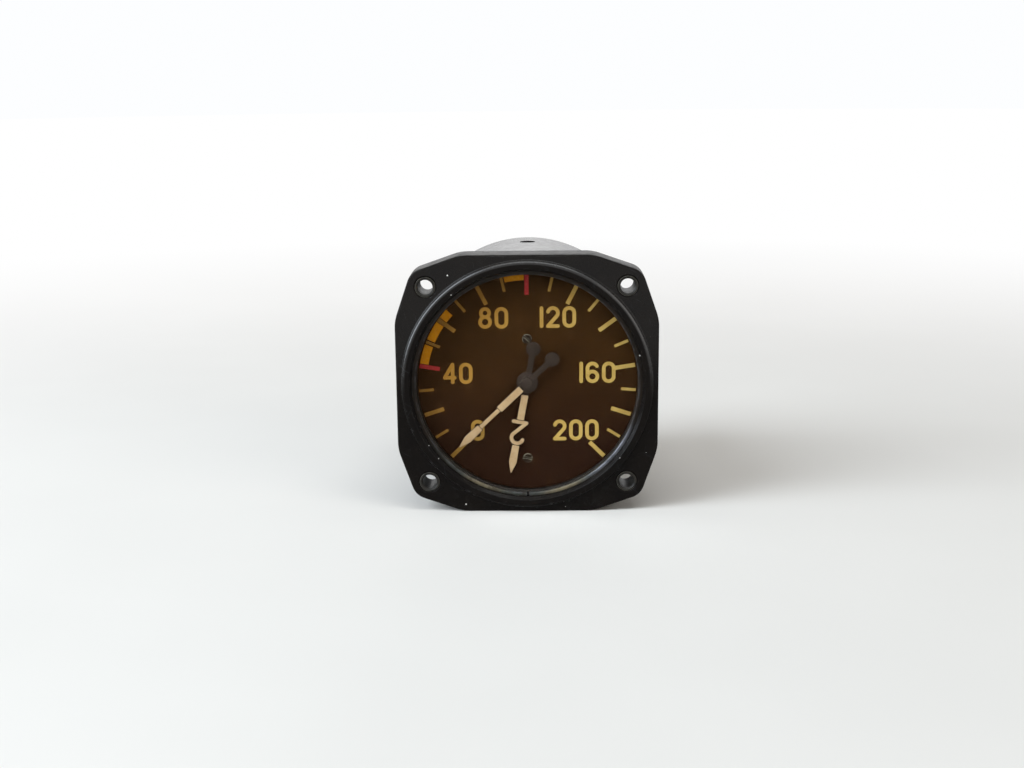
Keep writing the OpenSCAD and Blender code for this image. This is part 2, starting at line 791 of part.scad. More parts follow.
module pointer_1() {
    color([0.06, 0.06, 0.065]) clockwise(pointer_1_rest) slab(pointer_1_y, pointer_1_y + pointer_t)
    difference() {
        union() {
            tail_2d();
            circle(hub_1_r);
            translate([-tail_w / 2, 0]) square([tail_w, bar_1_start]);
            bar_2d(bar_1_start, pointer_edge);
            figure_1_2d(pointer_edge);
            webs_2d();
            tip_2d(pointer_edge);
        }
        circle(bush_1_r);
    }
}

module pointer_1_paint() {
    color([0.9, 0.83, 0.64]) clockwise(pointer_1_rest)
    slab(pointer_1_y - pointer_paint_t, pointer_1_y) {
        bar_2d(bar_1_start, 0);
        figure_1_2d(0);
        tip_2d(0);
    }
}

module pointer_1_hub() {
    color([0.1, 0.1, 0.1]) {
        disc(hub_1_r, hub_1_front, pointer_1_y, arbor_r);
        disc(bush_1_r, pointer_1_y, pointer_1_y + pointer_t, arbor_r);
        disc(hub_1_r - 0.3, pointer_1_y + pointer_t, hub_1_back, arbor_r);
    }
}

module pointer_2() {
    color([0.06, 0.06, 0.065]) clockwise(pointer_2_rest) slab(pointer_2_y, pointer_2_y + pointer_t)
    difference() {
        union() {
            tail_2d();
            circle(hub_2_r);
            bar_2d(hub_2_back_r, pointer_edge);
            figure_2_2d(pointer_edge);
            webs_2d();
            tip_2d(pointer_edge);
        }
        circle(bush_2_r);
    }
}

module pointer_2_paint() {
    color([0.88, 0.81, 0.63]) clockwise(pointer_2_rest)
    slab(pointer_2_y - pointer_paint_t, pointer_2_y) {
        bar_2d(bar_2_start, 0);
        figure_2_2d(0);
        tip_2d(0);
    }
}

module pointer_2_hub() {
    color([0.1, 0.1, 0.1]) {
        disc(bush_2_r, pointer_2_y, pointer_2_y + pointer_t, hollow_arbor_r);
        disc(hub_2_back_r, pointer_2_y + pointer_t, hub_2_back, hollow_arbor_r);
    }
}

// Involute teeth
function inv(r, rb) = r <= rb ? 0 : sqrt(pow(r / rb, 2) - 1) * 180 / PI - acos(rb / r);
function tooth_half(r, rp) = tooth_w / 2 / rp * 180 / PI
    + inv(rp, rp * cos(pressure_angle)) - inv(r, rp * cos(pressure_angle));
function flank(radii, rp, side) = [for (r = radii) polar(r, side * tooth_half(r, rp))];
function reversed(list) = [for (k = [len(list) - 1:-1:0]) list[k]];

module tooth_2d(rp, root, tip) {
    rb = rp * cos(pressure_angle);
    radii = [root - 0.1, max(root, rb), (2 * max(root, rb) + tip) / 3, (max(root, rb) + 2 * tip) / 3, tip];
    polygon(concat(flank(radii, rp, -1), reversed(flank(radii, rp, 1))));
}

module pinion_2d() {
    circle(pinion_root_r);
    for (k = [0:pinion_teeth - 1])
        rotate((k + 0.5) * 360 / pinion_teeth) tooth_2d(pinion_rp, pinion_root_r, pinion_rp + pinion_addendum);
}

// At mid travel a gap of the pinion faces the sector's arbor
module pinion(i) {
    y = cell_front[i] + pinion_dy;
    clockwise(pointer_rest[i]) slab(y, y + pinion_h) rotate(arbor_angle(i)) difference() {
        pinion_2d();
        circle(i == 0 ? arbor_r : hollow_bore_r);
    }
}

module arbor_1() {
    pinion_y = rear_cell_y + pinion_dy;
    thick_r = pinion_root_r - 2 * gear_module / 3;
    color([0.7, 0.7, 0.72]) {
        disc(arbor_r, hub_1_front, movement_back);
        pinion(0);
        disc(thick_r, pinion_y + pinion_h, back_plate_y - end_shake);
    }
}

module arbor_2() {
    color([0.78, 0.64, 0.33]) {
        disc(hollow_arbor_r, pointer_2_y, rear_cell_y, hollow_bore_r);
        pinion(1);
    }
}

// Movement frame
module movement_plate(y, arbor, holes) {
    difference() {
        disc(plate_r, y, y + plate_t);
        disc(arbor, y - 1, y + plate_t + 1);
        for (i = holes) at(arbor_pos(i)) disc(pivot_r + pivot_fit, y - 1, y + plate_t + 1);
    }
}

module at_pillars() {
    for (a = pillar_angles) at(polar(pillar_at, a)) children();
}

module front_plate() {
    y = front_plate_y;
    color([0.75, 0.61, 0.32]) difference() {
        union() {
            movement_plate(y, hollow_arbor_r + pivot_fit, [1]);
            slab(y, y + plate_t) difference() {
                union() {
                    translate([-lug_w / 2, -dial_screw_down])
                        square([lug_w, dial_screw_down - plate_r + 1]);
                    translate([0, -dial_screw_down]) circle(lug_w / 2);
                }
                circle(plate_r - 0.5);
            }
        }
        at_pillars() disc(stud_r, y - 1, y + plate_t + 1);
    }
}

module middle_plate() {
    y = middle_plate_y;
    color([0.75, 0.61, 0.32]) difference() {
        movement_plate(y, hollow_arbor_r + pivot_fit, [0, 1]);
        at_pillars() disc(stud_r, y - 1, y + plate_t + 1);
    }
}

module back_plate() {
    y = back_plate_y;
    color([0.75, 0.61, 0.32]) difference() {
        movement_plate(y, arbor_r + pivot_fit, [0]);
        at_pillars() disc(stud_r, y - 1, y + plate_t + 1);
    }
}

// A pillar with a tapped hole in front
module pillar(y0, y1) {
    difference() {
        disc(pillar_r, y0, y1);
        disc(stud_r, y0 - 1, y0 + stud_len);
    }
}

// The threaded stud behind a pillar, through the next plate into the next pillar
module pillar_stud(y) {
    disc(stud_r, y, y + plate_t + stud_len);
}

module front_pillars() {
    color([0.72, 0.57, 0.28]) at_pillars() {
        pillar(front_cell_y, middle_plate_y);
        pillar_stud(middle_plate_y);
    }
}

module middle_pillars() {
    color([0.72, 0.57, 0.28]) at_pillars() {
        pillar(rear_cell_y, back_plate_y);
        pillar_stud(back_plate_y);
    }
}

module rear_pillars() {
    color([0.72, 0.57, 0.28]) at_pillars() difference() {
        pillar(movement_back, base_y);
        disc(base_screw_r, base_y - base_screw_in, base_y + 1);
    }
}

module plate_screws() {
    color([0.66, 0.66, 0.68]) at_pillars() difference() {
        union() {
            disc(plate_screw_head_r, front_plate_y - plate_screw_head_t, front_plate_y);
            disc(stud_r, front_plate_y, front_cell_y + stud_len);
        }
        translate([-plate_screw_head_r, front_plate_y - plate_screw_head_t - 1, -slot_w / 2])
            cube([2 * plate_screw_head_r, 1 + plate_screw_head_t / 2, slot_w]);
    }
}

// Hairsprings
hairspring_start = [arbor_r + 1, hollow_arbor_r + 0.9];
turn_steps = 20;
stud_post_r = 0.7;
function spiral(r0, r_add) = [for (k = [0:hairspring_turns * turn_steps])
    polar(r0 + r_add + hairspring_pitch * k / turn_steps, k * 360 / turn_steps)];
function spiral_end(i) = hairspring_start[i] + hairspring_t / 2 + hairspring_pitch * hairspring_turns;

module hairspring(i) {
    y = cell_front[i] + hairspring_dy;
    r0 = hairspring_start[i] + hairspring_t / 2;
    color([0.5, 0.42, 0.25]) slab(y, y + hairspring_w)
        polygon(concat(spiral(r0, -hairspring_t / 2), reversed(spiral(r0, hairspring_t / 2))));
}

module hairspring_1() {
    hairspring(0);
}

module hairspring_2() {
    hairspring(1);
}

module hairspring_collet(i, bore) {
    y = cell_front[i] + collet_dy;
    color([0.76, 0.62, 0.33]) difference() {
        disc(hairspring_start[i], y, y + collet_h, bore);
        translate([0, y - 1, -collet_slot / 2]) cube([hairspring_start[i] + 1, collet_h + 2, collet_slot]);
    }
}

module hairspring_collet_1() {
    hairspring_collet(0, arbor_r);
}

module hairspring_collet_2() {
    hairspring_collet(1, hollow_arbor_r);
}

module hairspring_studs() {
    color([0.72, 0.57, 0.28]) for (i = [0, 1])
        at([spiral_end(i) + hairspring_t / 2 + stud_post_r, 0])
            disc(stud_post_r, cell_front[i], cell_front[i] + hairspring_dy + hairspring_w + 0.2);
}

// Sectors, drawn with the arbor at the origin and the tail along +X
module sector_2d() {
    window_out = sector_root_r - sector_rim;
    window_end = sector_half - spoke_edge;
    pitch = 360 / sector_teeth;
    teeth_each_side = floor((sector_half - pitch / 2) / pitch);
    difference() {
        union() {
            circle(sector_hub_r);
            translate([0, -sector_arm_w / 2]) square([sector_tail, sector_arm_w]);
            translate([sector_tail, 0]) circle(tail_eye_r);
            intersection() {
                circle(sector_root_r);
                slice_2d(sector_root_r, 180 - sector_half, 180 + sector_half);
            }
            for (k = [-teeth_each_side:teeth_each_side])
                rotate(180 + k * pitch) tooth_2d(sector_rp, sector_root_r, sector_tip_r);
        }
        for (s = [-1, 1]) intersection() {
            ring_2d(window_out, sector_hub_r + sector_rim);
            slice_2d(sector_root_r, 180 + min(s * spoke_half, s * window_end),
                180 + max(s * spoke_half, s * window_end));
        }
        circle(sector_arbor_r);
        translate([sector_tail, 0]) circle(link_pin_r);
    }
}

// Places a sector piece and turns it to where it rests
module at_sector(i) {
    at(arbor_pos(i)) clockwise(-arbor_angle(i) - sector_rest(i)) children();
}

module sector(i) {
    y = cell_front[i] + sector_dy;
    color([0.77, 0.63, 0.34]) at_sector(i) slab(y, y + sector_t) sector_2d();
}

module sector_1() {
    sector(0);
}

module sector_2() {
    sector(1);
}

module sector_arbor(i) {
    y = cell_front[i];
    color([0.68, 0.68, 0.7]) at(arbor_pos(i)) {
        disc(pivot_r, y - plate_t, y + end_shake);
        disc(sector_arbor_r, y + end_shake, y + cell_h - end_shake);
        disc(pivot_r, y + cell_h - end_shake, y + cell_h + plate_t);
        disc(front_collar[0], y + sector_dy - front_collar[1], y + sector_dy);
        disc(rear_collar[0], y + sector_dy + sector_t, y + sector_dy + sector_t + rear_collar[1]);
    }
}

module sector_arbor_1() {
    sector_arbor(0);
}

module sector_arbor_2() {
    sector_arbor(1);
}

// A pin through the sector plate or tube ear and the link, with a head behind the link
module link_pin(i, pos, head_r) {
    y = cell_front[i] + sector_dy;
    head_y = cell_front[i] + link_dy + link_t + 0.1;
    color([0.66, 0.66, 0.68]) at(pos) {
        disc(link_pin_r, y, head_y);
        disc(head_r, head_y, head_y + pin_head_t);
    }
}

module tail_pin_1() {
    link_pin(0, tail_pos(0), link_pin_r + pin_head_over);
}

module tail_pin_2() {
    link_pin(1, tail_pos(1), link_pin_r + pin_head_over);
}

module tip_pin_1() {
    link_pin(0, tip_pos(0), link_pin_r + link_end_fit + pin_head_over / 2);
}

module tip_pin_2() {
    link_pin(1, tip_pos(1), link_pin_r + link_end_fit + pin_head_over / 2);
}

// The link keeps its direction while the tail pin swings
module link(i) {
    y = cell_front[i] + link_dy;
    color([0.74, 0.6, 0.32]) at(tail_pos(i)) slab(y, y + link_t) rotate(arbor_angle(i) + 90) difference() {
        union() {
            translate([0, -link_w / 2]) square([link_len(i), link_w]);
            circle(link_eye_r);
            translate([link_len(i), 0]) circle(link_eye_r);
        }
        circle(link_pin_r + pivot_fit);
        translate([link_len(i), 0]) circle(link_pin_r + link_end_fit);
    }
}

module link_1() {
    link(0);
}

module link_2() {
    link(1);
}

// Pressure tubes
module oval_2d(shrink) {
    r = tube_t / 2 - shrink;
    half = tube_w / 2 - tube_t / 2;
    translate([tube_r, 0]) stroke_2d([0, -half], [0, half], 2 * r);
}

// Sweeps a section round the case axis between two directions, counter-clockwise from +X
module sweep(a0, a1, y) {
    translate([0, y, 0]) rotate([90, 0, 0]) rotate([0, 0, a0]) rotate_extrude(angle = a1 - a0) children();
}

module pressure_tube(i) {
    y = cell_front[i] + tube_dy;
    color([0.8, 0.62, 0.36]) sweep(tube_end(i), root_angle[i], y) difference() {
        oval_2d(0);
        oval_2d(tube_wall);
    }
}

module pressure_tube_1() {
    pressure_tube(0);
}

module pressure_tube_2() {
    pressure_tube(1);
}

// Block on the tube's closed end, with a flat ear for the link pin
module tube_tip(i) {
    y = cell_front[i] + tube_dy;
    ear_y = cell_front[i] + sector_dy;
    a = tip_angle(i);
    end = tube_end(i);
    color([0.73, 0.59, 0.31]) difference() {
        union() {
            sweep(end - tip_closed, end + tip_lap, y) translate([tip_block_in, -tip_block_half])
                square([tip_block_out - tip_block_in, 2 * tip_block_half]);
            slab(ear_y, ear_y + sector_t) {
                translate(tip_pos(i)) circle(link_eye_r);
                translate(tip_pos(i)) rotate(a) translate([0, -link_eye_r])
                    square([ear_reach + ear_lap, 2 * link_eye_r]);
            }
        }
        sweep(end, end + tip_lap + 1, y) oval_2d(0);
        at(tip_pos(i)) disc(link_pin_r, ear_y - 1, ear_y + sector_t + 1);
    }
}

module tube_tip_1() {
    tube_tip(0);
}

module tube_tip_2() {
    tube_tip(1);
}

// Sockets: the tube's root is brazed into the post and the inlet is open behind
module socket(i) {
    tube_y = cell_front[i] + tube_dy;
    front = tube_y - tube_w / 2 - socket_wall;
    color([0.76, 0.62, 0.33]) difference() {
        at(socket_pos(i)) {
            disc(socket_r, front, base_y);
            disc(shoulder_r, base_y - shoulder_t, base_y);
            disc(shank_r, base_y, socket_back);
        }
        at(socket_pos(i)) {
            disc(inlet_r, socket_back - inlet_depth, socket_back + 1);
            disc(passage_r, tube_y, socket_back);
            disc(restrictor_r, socket_back - inlet_depth - restrictor_len, socket_back);
        }
        sweep(root_angle[i] - 20, root_angle[i], tube_y) oval_2d(0);
        translate([0, tube_y, 0]) at(socket_pos(i)) rotate([0, -root_angle[i], 0])
            rotate([0, 90, 0]) cylinder(h = tube_r - socket_at, r = passage_r);
    }
}

module socket_1() {
    socket(0);
}

module socket_2() {
    socket(1);
}

module restrictor_screws() {
    back = socket_back - inlet_depth;
    color([0.7, 0.56, 0.27]) for (i = [0, 1]) at(socket_pos(i)) difference() {
        disc(restrictor_r, back - restrictor_len, back, restrictor_bore);
        translate([-restrictor_r, back - slot_w, -slot_w / 2]) cube([2 * restrictor_r, 1, slot_w]);
    }
}

// Rear base
module rear_base() {
    color([0.42, 0.43, 0.44]) difference() {
        union() {
            disc(spigot_r, base_y, case_depth - base_inset);
            disc(spigot_r, spigot_y, base_y, spigot_r - spigot_wall);
        }
        disc(bore_r + 1, seal_y, seal_y + seal_w, bore_r - seal_depth);
        for (i = [0, 1]) at(socket_pos(i)) disc(shank_r, base_y - 1, case_depth + 1);
        at_pillars() {
            disc(base_screw_r, base_y - 1, case_depth + 1);
            disc(base_screw_pocket_r, case_depth - base_screw_pocket, case_depth + 1);
        }
        case_screw_places() case_screw_form();
    }
}

module base_seal() {
    color([0.05, 0.05, 0.05]) disc(bore_r, seal_y, seal_y + seal_w, bore_r - seal_depth);
}

module base_screws() {
    head_y = case_depth - base_screw_pocket;
    color([0.66, 0.66, 0.68]) at_pillars() difference() {
        union() {
            disc(base_screw_head_r, head_y, head_y + base_screw_head_t);
            disc(base_screw_r, base_y - base_screw_in, head_y);
        }
        translate([-base_screw_head_r, head_y + base_screw_head_t / 2, -case_slot_w / 2])
            cube([2 * base_screw_head_r, base_screw_head_t, case_slot_w]);
    }
}

// Radial screw along +Z: countersunk head just below the case's skin, shank through the spigot
module case_screw_form() {
    head_h = case_screw_head_r - case_screw_r;
    tip = spigot_r - spigot_wall - case_screw_past;
    translate([0, 0, tip]) cylinder(h = case_screw_top - tip, r = case_screw_r);
    translate([0, 0, case_screw_top - head_h])
        cylinder(h = head_h, r1 = case_screw_r, r2 = case_screw_head_r);
}

module case_screw_hole() {
    case_screw_form();
    translate([0, 0, case_screw_top]) cylinder(h = case_wall, r = case_screw_head_r);
}

module case_screws() {
    color([0.12, 0.12, 0.12]) case_screw_places() difference() {
        case_screw_form();
        translate([-case_screw_head_r, -case_slot_w / 2, case_screw_top - case_slot_w])
            cube([2 * case_screw_head_r, case_slot_w, 1]);
    }
}

module inlet_nuts() {
    color([0.74, 0.6, 0.32]) for (i = [0, 1]) at(socket_pos(i))
    slab(case_depth - base_inset, case_depth + nut_t) difference() {
        circle(nut_af / 2 / cos(30), $fn = 6);
        circle(shank_r);
    }
}

case();
flange_bushings();
retaining_ring();
cover_glass();
glass_gasket();
dial_plate();
dial_markings();
range_bands();
range_limits();
dial_screws();
dial_posts();
pointer_1();
pointer_1_paint();
pointer_1_hub();
pointer_2();
pointer_2_paint();
pointer_2_hub();
front_plate();
middle_plate();
back_plate();
front_pillars();
middle_pillars();
rear_pillars();
plate_screws();
arbor_1();
arbor_2();
hairspring_1();
hairspring_2();
hairspring_collet_1();
hairspring_collet_2();
hairspring_studs();
sector_1();
sector_2();
sector_arbor_1();
sector_arbor_2();
tail_pin_1();
tail_pin_2();
link_1();
link_2();
tip_pin_1();
tip_pin_2();
tube_tip_1();
tube_tip_2();
pressure_tube_1();
pressure_tube_2();
socket_1();
socket_2();
restrictor_screws();
rear_base();
base_seal();
base_screws();
case_screws();
inlet_nuts();
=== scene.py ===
import math

import bmesh
import bpy
from mathutils import Matrix, Vector


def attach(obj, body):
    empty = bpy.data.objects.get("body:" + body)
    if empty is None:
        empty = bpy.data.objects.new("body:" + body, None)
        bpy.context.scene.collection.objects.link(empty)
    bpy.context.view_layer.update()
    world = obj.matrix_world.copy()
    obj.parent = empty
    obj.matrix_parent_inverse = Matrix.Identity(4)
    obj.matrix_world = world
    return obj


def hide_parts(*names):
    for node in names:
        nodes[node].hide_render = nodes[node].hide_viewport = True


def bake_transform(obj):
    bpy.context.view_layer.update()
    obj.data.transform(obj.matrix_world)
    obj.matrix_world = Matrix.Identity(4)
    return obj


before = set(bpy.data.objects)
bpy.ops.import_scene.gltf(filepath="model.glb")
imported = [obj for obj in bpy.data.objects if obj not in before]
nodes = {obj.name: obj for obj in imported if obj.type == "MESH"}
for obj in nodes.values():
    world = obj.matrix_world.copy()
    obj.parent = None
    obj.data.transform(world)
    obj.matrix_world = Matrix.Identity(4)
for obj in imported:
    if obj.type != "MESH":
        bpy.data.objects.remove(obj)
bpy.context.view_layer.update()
print("frame loaded:", len(nodes), "nodes")

# Lengths in the dictionaries are millimetres, angles are degrees, both as the solids have them.
milli = 0.001


def polar(radius, degrees):
    return Vector((radius * math.cos(math.radians(degrees)), radius * math.sin(math.radians(degrees))))


def rotation(degrees, axis):
    return Matrix.Rotation(math.radians(degrees), 4, axis)


def place(bm, verts, matrix):
    bmesh.ops.transform(bm, matrix=matrix, verts=verts)


# Some of a dictionary's values, in the order asked for.
def take(values, *keys):
    return [values[key] for key in keys]


# Turns corners (u, v, radius) into a closed line of points with true arcs. A point stands a little
# before and after each arc, so that the flat beside it keeps a flat shading.
def roundCorners(corners, steps=4, support=0.07):
    points = []
    for i, (u, v, radius) in enumerate(corners):
        here = Vector((u, v))
        before = Vector(corners[i - 1][:2]) - here
        after = Vector(corners[(i + 1) % len(corners)][:2]) - here
        if radius <= 0:
            points.append(here)
            continue
        toBefore, toAfter = before.normalized(), after.normalized()
        angle = toBefore.angle(toAfter)
        run = radius / math.tan(angle / 2)
        middle = here + (toBefore + toAfter).normalized() * radius / math.sin(angle / 2)
        first, last = here + toBefore * run - middle, here + toAfter * run - middle
        turn = math.pi - angle
        if run + support < before.length / 2:
            points.append(here + toBefore * (run + support))
        for k in range(steps + 1):
            part = k / steps * turn
            points.append(middle + (first * math.sin(turn - part) + last * math.sin(part)) / math.sin(turn))
        if run + support < after.length / 2:
            points.append(here + toAfter * (run + support))
    return points


def circleLine(centre, radius, count=64, clockwise=False):
    step = -360 / count if clockwise else 360 / count
    return [Vector(centre) + polar(radius, k * step) for k in range(count)]


# Moves a closed line towards its left, which is the solid's side.
def insetLine(line, distance):
    moved = []
    for i, here in enumerate(line):
        a = (here - line[i - 1]).normalized()
        b = (line[(i + 1) % len(line)] - here).normalized()
        left = Vector((-a.y - b.y, a.x + b.x))
        moved.append(here + left * distance / max(0.3, 1 + a.dot(b)))
    return moved


# Joins places in a closed line of vertices and edges.
def layLine(bm, places):
    verts = [bm.verts.new(spot) for spot in places]
    edges = [bm.edges.new((verts[i - 1], verts[i])) for i in range(len(verts))]
    return verts, edges


# The parts of one kind in what an operator gives back.
def pick(parts, kind):
    return [part for part in parts if isinstance(part, kind)]


# Spins a closed line of (radius, depth) round an axis along Y. The shape, if any, then gives each
# vertex a new radius for its angle, radius and depth.
def spinLine(bm, line, segments=160, centre=(0, 0), start=0, sweep=360, shape=None):
    before = set(bm.verts)
    middle = Vector((centre[0], 0, centre[1]))
    verts, edges = layLine(bm, [(radius, depth, 0) for radius, depth in line])
    place(bm, verts, Matrix.Translation(middle) @ rotation(-start, "Y"))
    full = sweep == 360
    spun = bmesh.ops.spin(bm, geom=verts + edges, cent=middle, axis=(0, -1, 0),
                          angle=math.radians(sweep), steps=segments, use_merge=full)
    if not full:
        for openEnd in (edges, pick(spun["geom_last"], bmesh.types.BMEdge)):
            bmesh.ops.edgeloop_fill(bm, edges=openEnd)
    made = [vert for vert in bm.verts if vert not in before]
    if shape:
        for vert in made:
            out = Vector((vert.co.x - middle.x, vert.co.z - middle.z))
            if out.length > 0.01:  # not on the axis
                angle = math.degrees(math.atan2(out.y, out.x))
                out *= shape(angle, out.length, vert.co.y) / out.length
                vert.co = (middle.x + out.x, vert.co.y, middle.z + out.y)
    return made


# A flat plate between two depths: lines[0] is its outline, the others its holes. Each line is
# extruded through the levels of its two rounded edges, each so wide and so deep, and both faces
# are filled.
def addPlate(bm, lines, front, back, frontEdge=(0.2, 0.2), backEdge=(0.2, 0.2), steps=3, support=0.06):
    turns = [math.pi / 2 * k / steps for k in range(steps + 1)]
    wide, deep = frontEdge
    levels = [(wide + support, front)]
    levels += [(wide * (1 - math.sin(turn)), front + deep * (1 - math.cos(turn))) for turn in turns]
    wide, deep = backEdge
    levels += [(wide * (1 - math.cos(turn)), back - deep * (1 - math.sin(turn))) for turn in turns]
    levels.append((wide + support, back))
    made, frontEdges, backEdges = [], [], []
    for line in lines:
        verts, edges = layLine(bm, [(p.x, front, p.y) for p in insetLine(line, levels[0][0])])
        frontEdges += edges
        made += verts
        for inset, depth in levels[1:]:
            grown = bmesh.ops.extrude_edge_only(bm, edges=edges)["geom"]
            fresh = set(pick(grown, bmesh.types.BMVert))
            edges = [edge for edge in pick(grown, bmesh.types.BMEdge) if fresh.issuperset(edge.verts)]
            verts = [next(e.other_vert(v) for e in v.link_edges if e.other_vert(v) in fresh) for v in verts]
            for vert, point in zip(verts, insetLine(line, inset)):
                vert.co = (point.x, depth, point.y)
            made += verts
        backEdges += edges
    for rim in (frontEdges, backEdges):
        bmesh.ops.triangle_fill(bm, use_beauty=True, use_dissolve=False, edges=rim)
    return made


plain = (0.01, 0.01)  # an edge that stays as good as sharp


# A screw facing -Y: two half discs stand on a disc, which leaves the slot, and the shank is behind.
# Each sinks a little into the next.
def addScrew(bm, screw, front, back, end):
    radius, slotFloor, edge = screw["radius"], front + screw["slotDepth"], screw["edge"]
    half = math.degrees(math.asin(screw["slot"] / 2 / radius))
    made = []
    for side in (0, 180):
        arc = [polar(radius, side + half + (180 - 2 * half) * k / 16) for k in range(17)]
        made += addPlate(bm, [arc], front, slotFloor + 0.03, (edge, edge), plain, 3, 0.02)
    disc = [circleLine((0, 0), radius - 0.004, 48)]
    made += addPlate(bm, disc, slotFloor, back, plain, (0.05, 0.05), 2, 0.02)
    shank = [circleLine((0, 0), screw["shank"], 32)]
    tipEdge = (screw["tipRound"], screw["tipRound"])
    return made + addPlate(bm, shank, back - screw["sunk"], end, plain, tipEdge)


fullBend = 16  # degrees from face to face that make a full edge


# Millimetres to metres, doubles merged, loose edges on an axis taken out, normals out.
def toMesh(bm, name):
    bmesh.ops.scale(bm, vec=(milli,) * 3, verts=bm.verts)
    bmesh.ops.remove_doubles(bm, verts=bm.verts, dist=2e-7)
    bmesh.ops.delete(bm, geom=[edge for edge in bm.edges if edge.is_wire], context="EDGES")
    bmesh.ops.recalc_face_normals(bm, faces=bm.faces)
    bend = [0.0] * len(bm.verts)  # 1 on convex edges, where wear shows
    bm.verts.index_update()
    for edge in bm.edges:
        if len(edge.link_faces) == 2:
            angle = math.degrees(edge.calc_face_angle_signed(0))
            for vert in edge.verts:
                bend[vert.index] = max(bend[vert.index], min(1, angle / fullBend))
    mesh = bpy.data.meshes.new(name)
    bm.to_mesh(mesh)
    bm.free()
    mesh.attributes.new("edge", "FLOAT", "POINT").data.foreach_set("value", bend)
    return mesh


def makePiece(name, bm, finish, body="housing", replaced=(), sharp=38):
    mesh = toMesh(bm, name)
    mesh.shade_smooth()
    mesh.set_sharp_from_angle(angle=math.radians(sharp))
    mesh.materials.append(finishes[finish])
    piece = bpy.data.objects.new(name, mesh)
    bpy.context.scene.collection.objects.link(piece)
    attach(piece, body)
    if replaced:
        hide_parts(*replaced)
    return piece


# Takes the shapes in the bmesh away from a piece.
def cutAway(piece, bm):
    cutter = bpy.data.objects.new("cutter", toMesh(bm, "cutter"))
    bpy.context.scene.collection.objects.link(cutter)
    cut = piece.modifiers.new("cut", "BOOLEAN")
    cut.operation, cut.solver, cut.object, cut.use_self = "DIFFERENCE", "EXACT", cutter, True
    bpy.context.view_layer.update()
    evaluated = piece.evaluated_get(bpy.context.evaluated_depsgraph_get())
    cutMesh = bpy.data.meshes.new_from_object(evaluated)
    piece.modifiers.clear()
    piece.data = cutMesh
    bpy.data.objects.remove(cutter)


# A colour written as on a screen, made linear.
def paint(code):
    parts = [int(code[i:i + 2], 16) / 255 for i in (0, 2, 4)]
    return tuple(c / 12.92 if c <= 0.04045 else ((c + 0.055) / 1.055) ** 2.4 for c in parts) + (1,)


def paints(codes):
    return [paint(code) for code in codes]


def setInput(tree, node, key, value):
    if isinstance(value, bpy.types.NodeSocket):
        tree.links.new(value, node.inputs[key])
    else:
        node.inputs[key].default_value = value


def addNode(tree, kind, inputs=None, **settings):
    made = tree.nodes.new(kind)
    for key, value in settings.items():
        setattr(made, key, value)
    for key, value in (inputs or {}).items():
        setInput(tree, made, key, value)
    return made


def mathNode(tree, operation, a, b=0.0, c=0.0, clamp=False):
    inputs = {0: a, 1: b, 2: c} if operation == "MULTIPLY_ADD" else {0: a, 1: b}
    return addNode(tree, "ShaderNodeMath", inputs, operation=operation, use_clamp=clamp).outputs[0]


def times(tree, a, b):
    return mathNode(tree, "MULTIPLY", a, b)


def vectorNode(tree, operation, a, b=(0.0, 0.0, 0.0)):
    made = addNode(tree, "ShaderNodeVectorMath", {0: a, 1: b}, operation=operation)
    return made.outputs["Value" if operation in ("LENGTH", "DISTANCE") else "Vector"]


def splitVector(tree, vector):
    return addNode(tree, "ShaderNodeSeparateXYZ", {0: vector}).outputs


def mixColour(tree, share, a, b):
    made = addNode(tree, "ShaderNodeMix", {"Factor": share}, data_type="RGBA")
    setInput(tree, made, 6, a)
    setInput(tree, made, 7, b)
    return made.outputs[2]


def ramp(tree, value, low, high, outLow=0.0, outHigh=1.0):
    inputs = {"Value": value, "From Min": low, "From Max": high, "To Min": outLow, "To Max": outHigh}
    return addNode(tree, "ShaderNodeMapRange", inputs, interpolation_type="SMOOTHSTEP").outputs[0]


def noise(tree, vector, scale, detail=3.0, rough=0.55):
    inputs = {"Vector": vector, "Scale": scale, "Detail": detail, "Roughness": rough}
    return addNode(tree, "ShaderNodeTexNoise", inputs).outputs[0]


# A node group that takes a vector and one number and puts out a mask.
def newMaskGroup(name, number):
    tree = bpy.data.node_groups.new(name, "ShaderNodeTree")
    tree.interface.new_socket("Vector", in_out="INPUT", socket_type="NodeSocketVector")
    tree.interface.new_socket(number, in_out="INPUT", socket_type="NodeSocketFloat")
    tree.interface.new_socket("Mask", in_out="OUTPUT", socket_type="NodeSocketFloat")
    return tree, tree.nodes.new("NodeGroupInput").outputs, tree.nodes.new("NodeGroupOutput").inputs


# Fine hairline scratches in three directions.
def hairlineGroup():
    tree, source, result = newMaskGroup("hairlines", "Scale")
    total = None
    for k, (turn, tilt) in enumerate(((0.5, 0.2), (2.2, -0.4), (1.3, 0.9))):
        placing = {"Vector": source[0], "Location": (k, 2 * k, 0), "Rotation": (tilt, turn, tilt),
                   "Scale": (1, 1, 0.04)}
        drawn = addNode(tree, "ShaderNodeMapping", placing, vector_type="TEXTURE").outputs[0]
        mask = ramp(tree, noise(tree, drawn, source[1], 1.0, 0.4), 0.72, 0.8)
        total = mask if total is None else mathNode(tree, "ADD", total, mask, clamp=True)
    tree.links.new(total, result[0])
    return tree


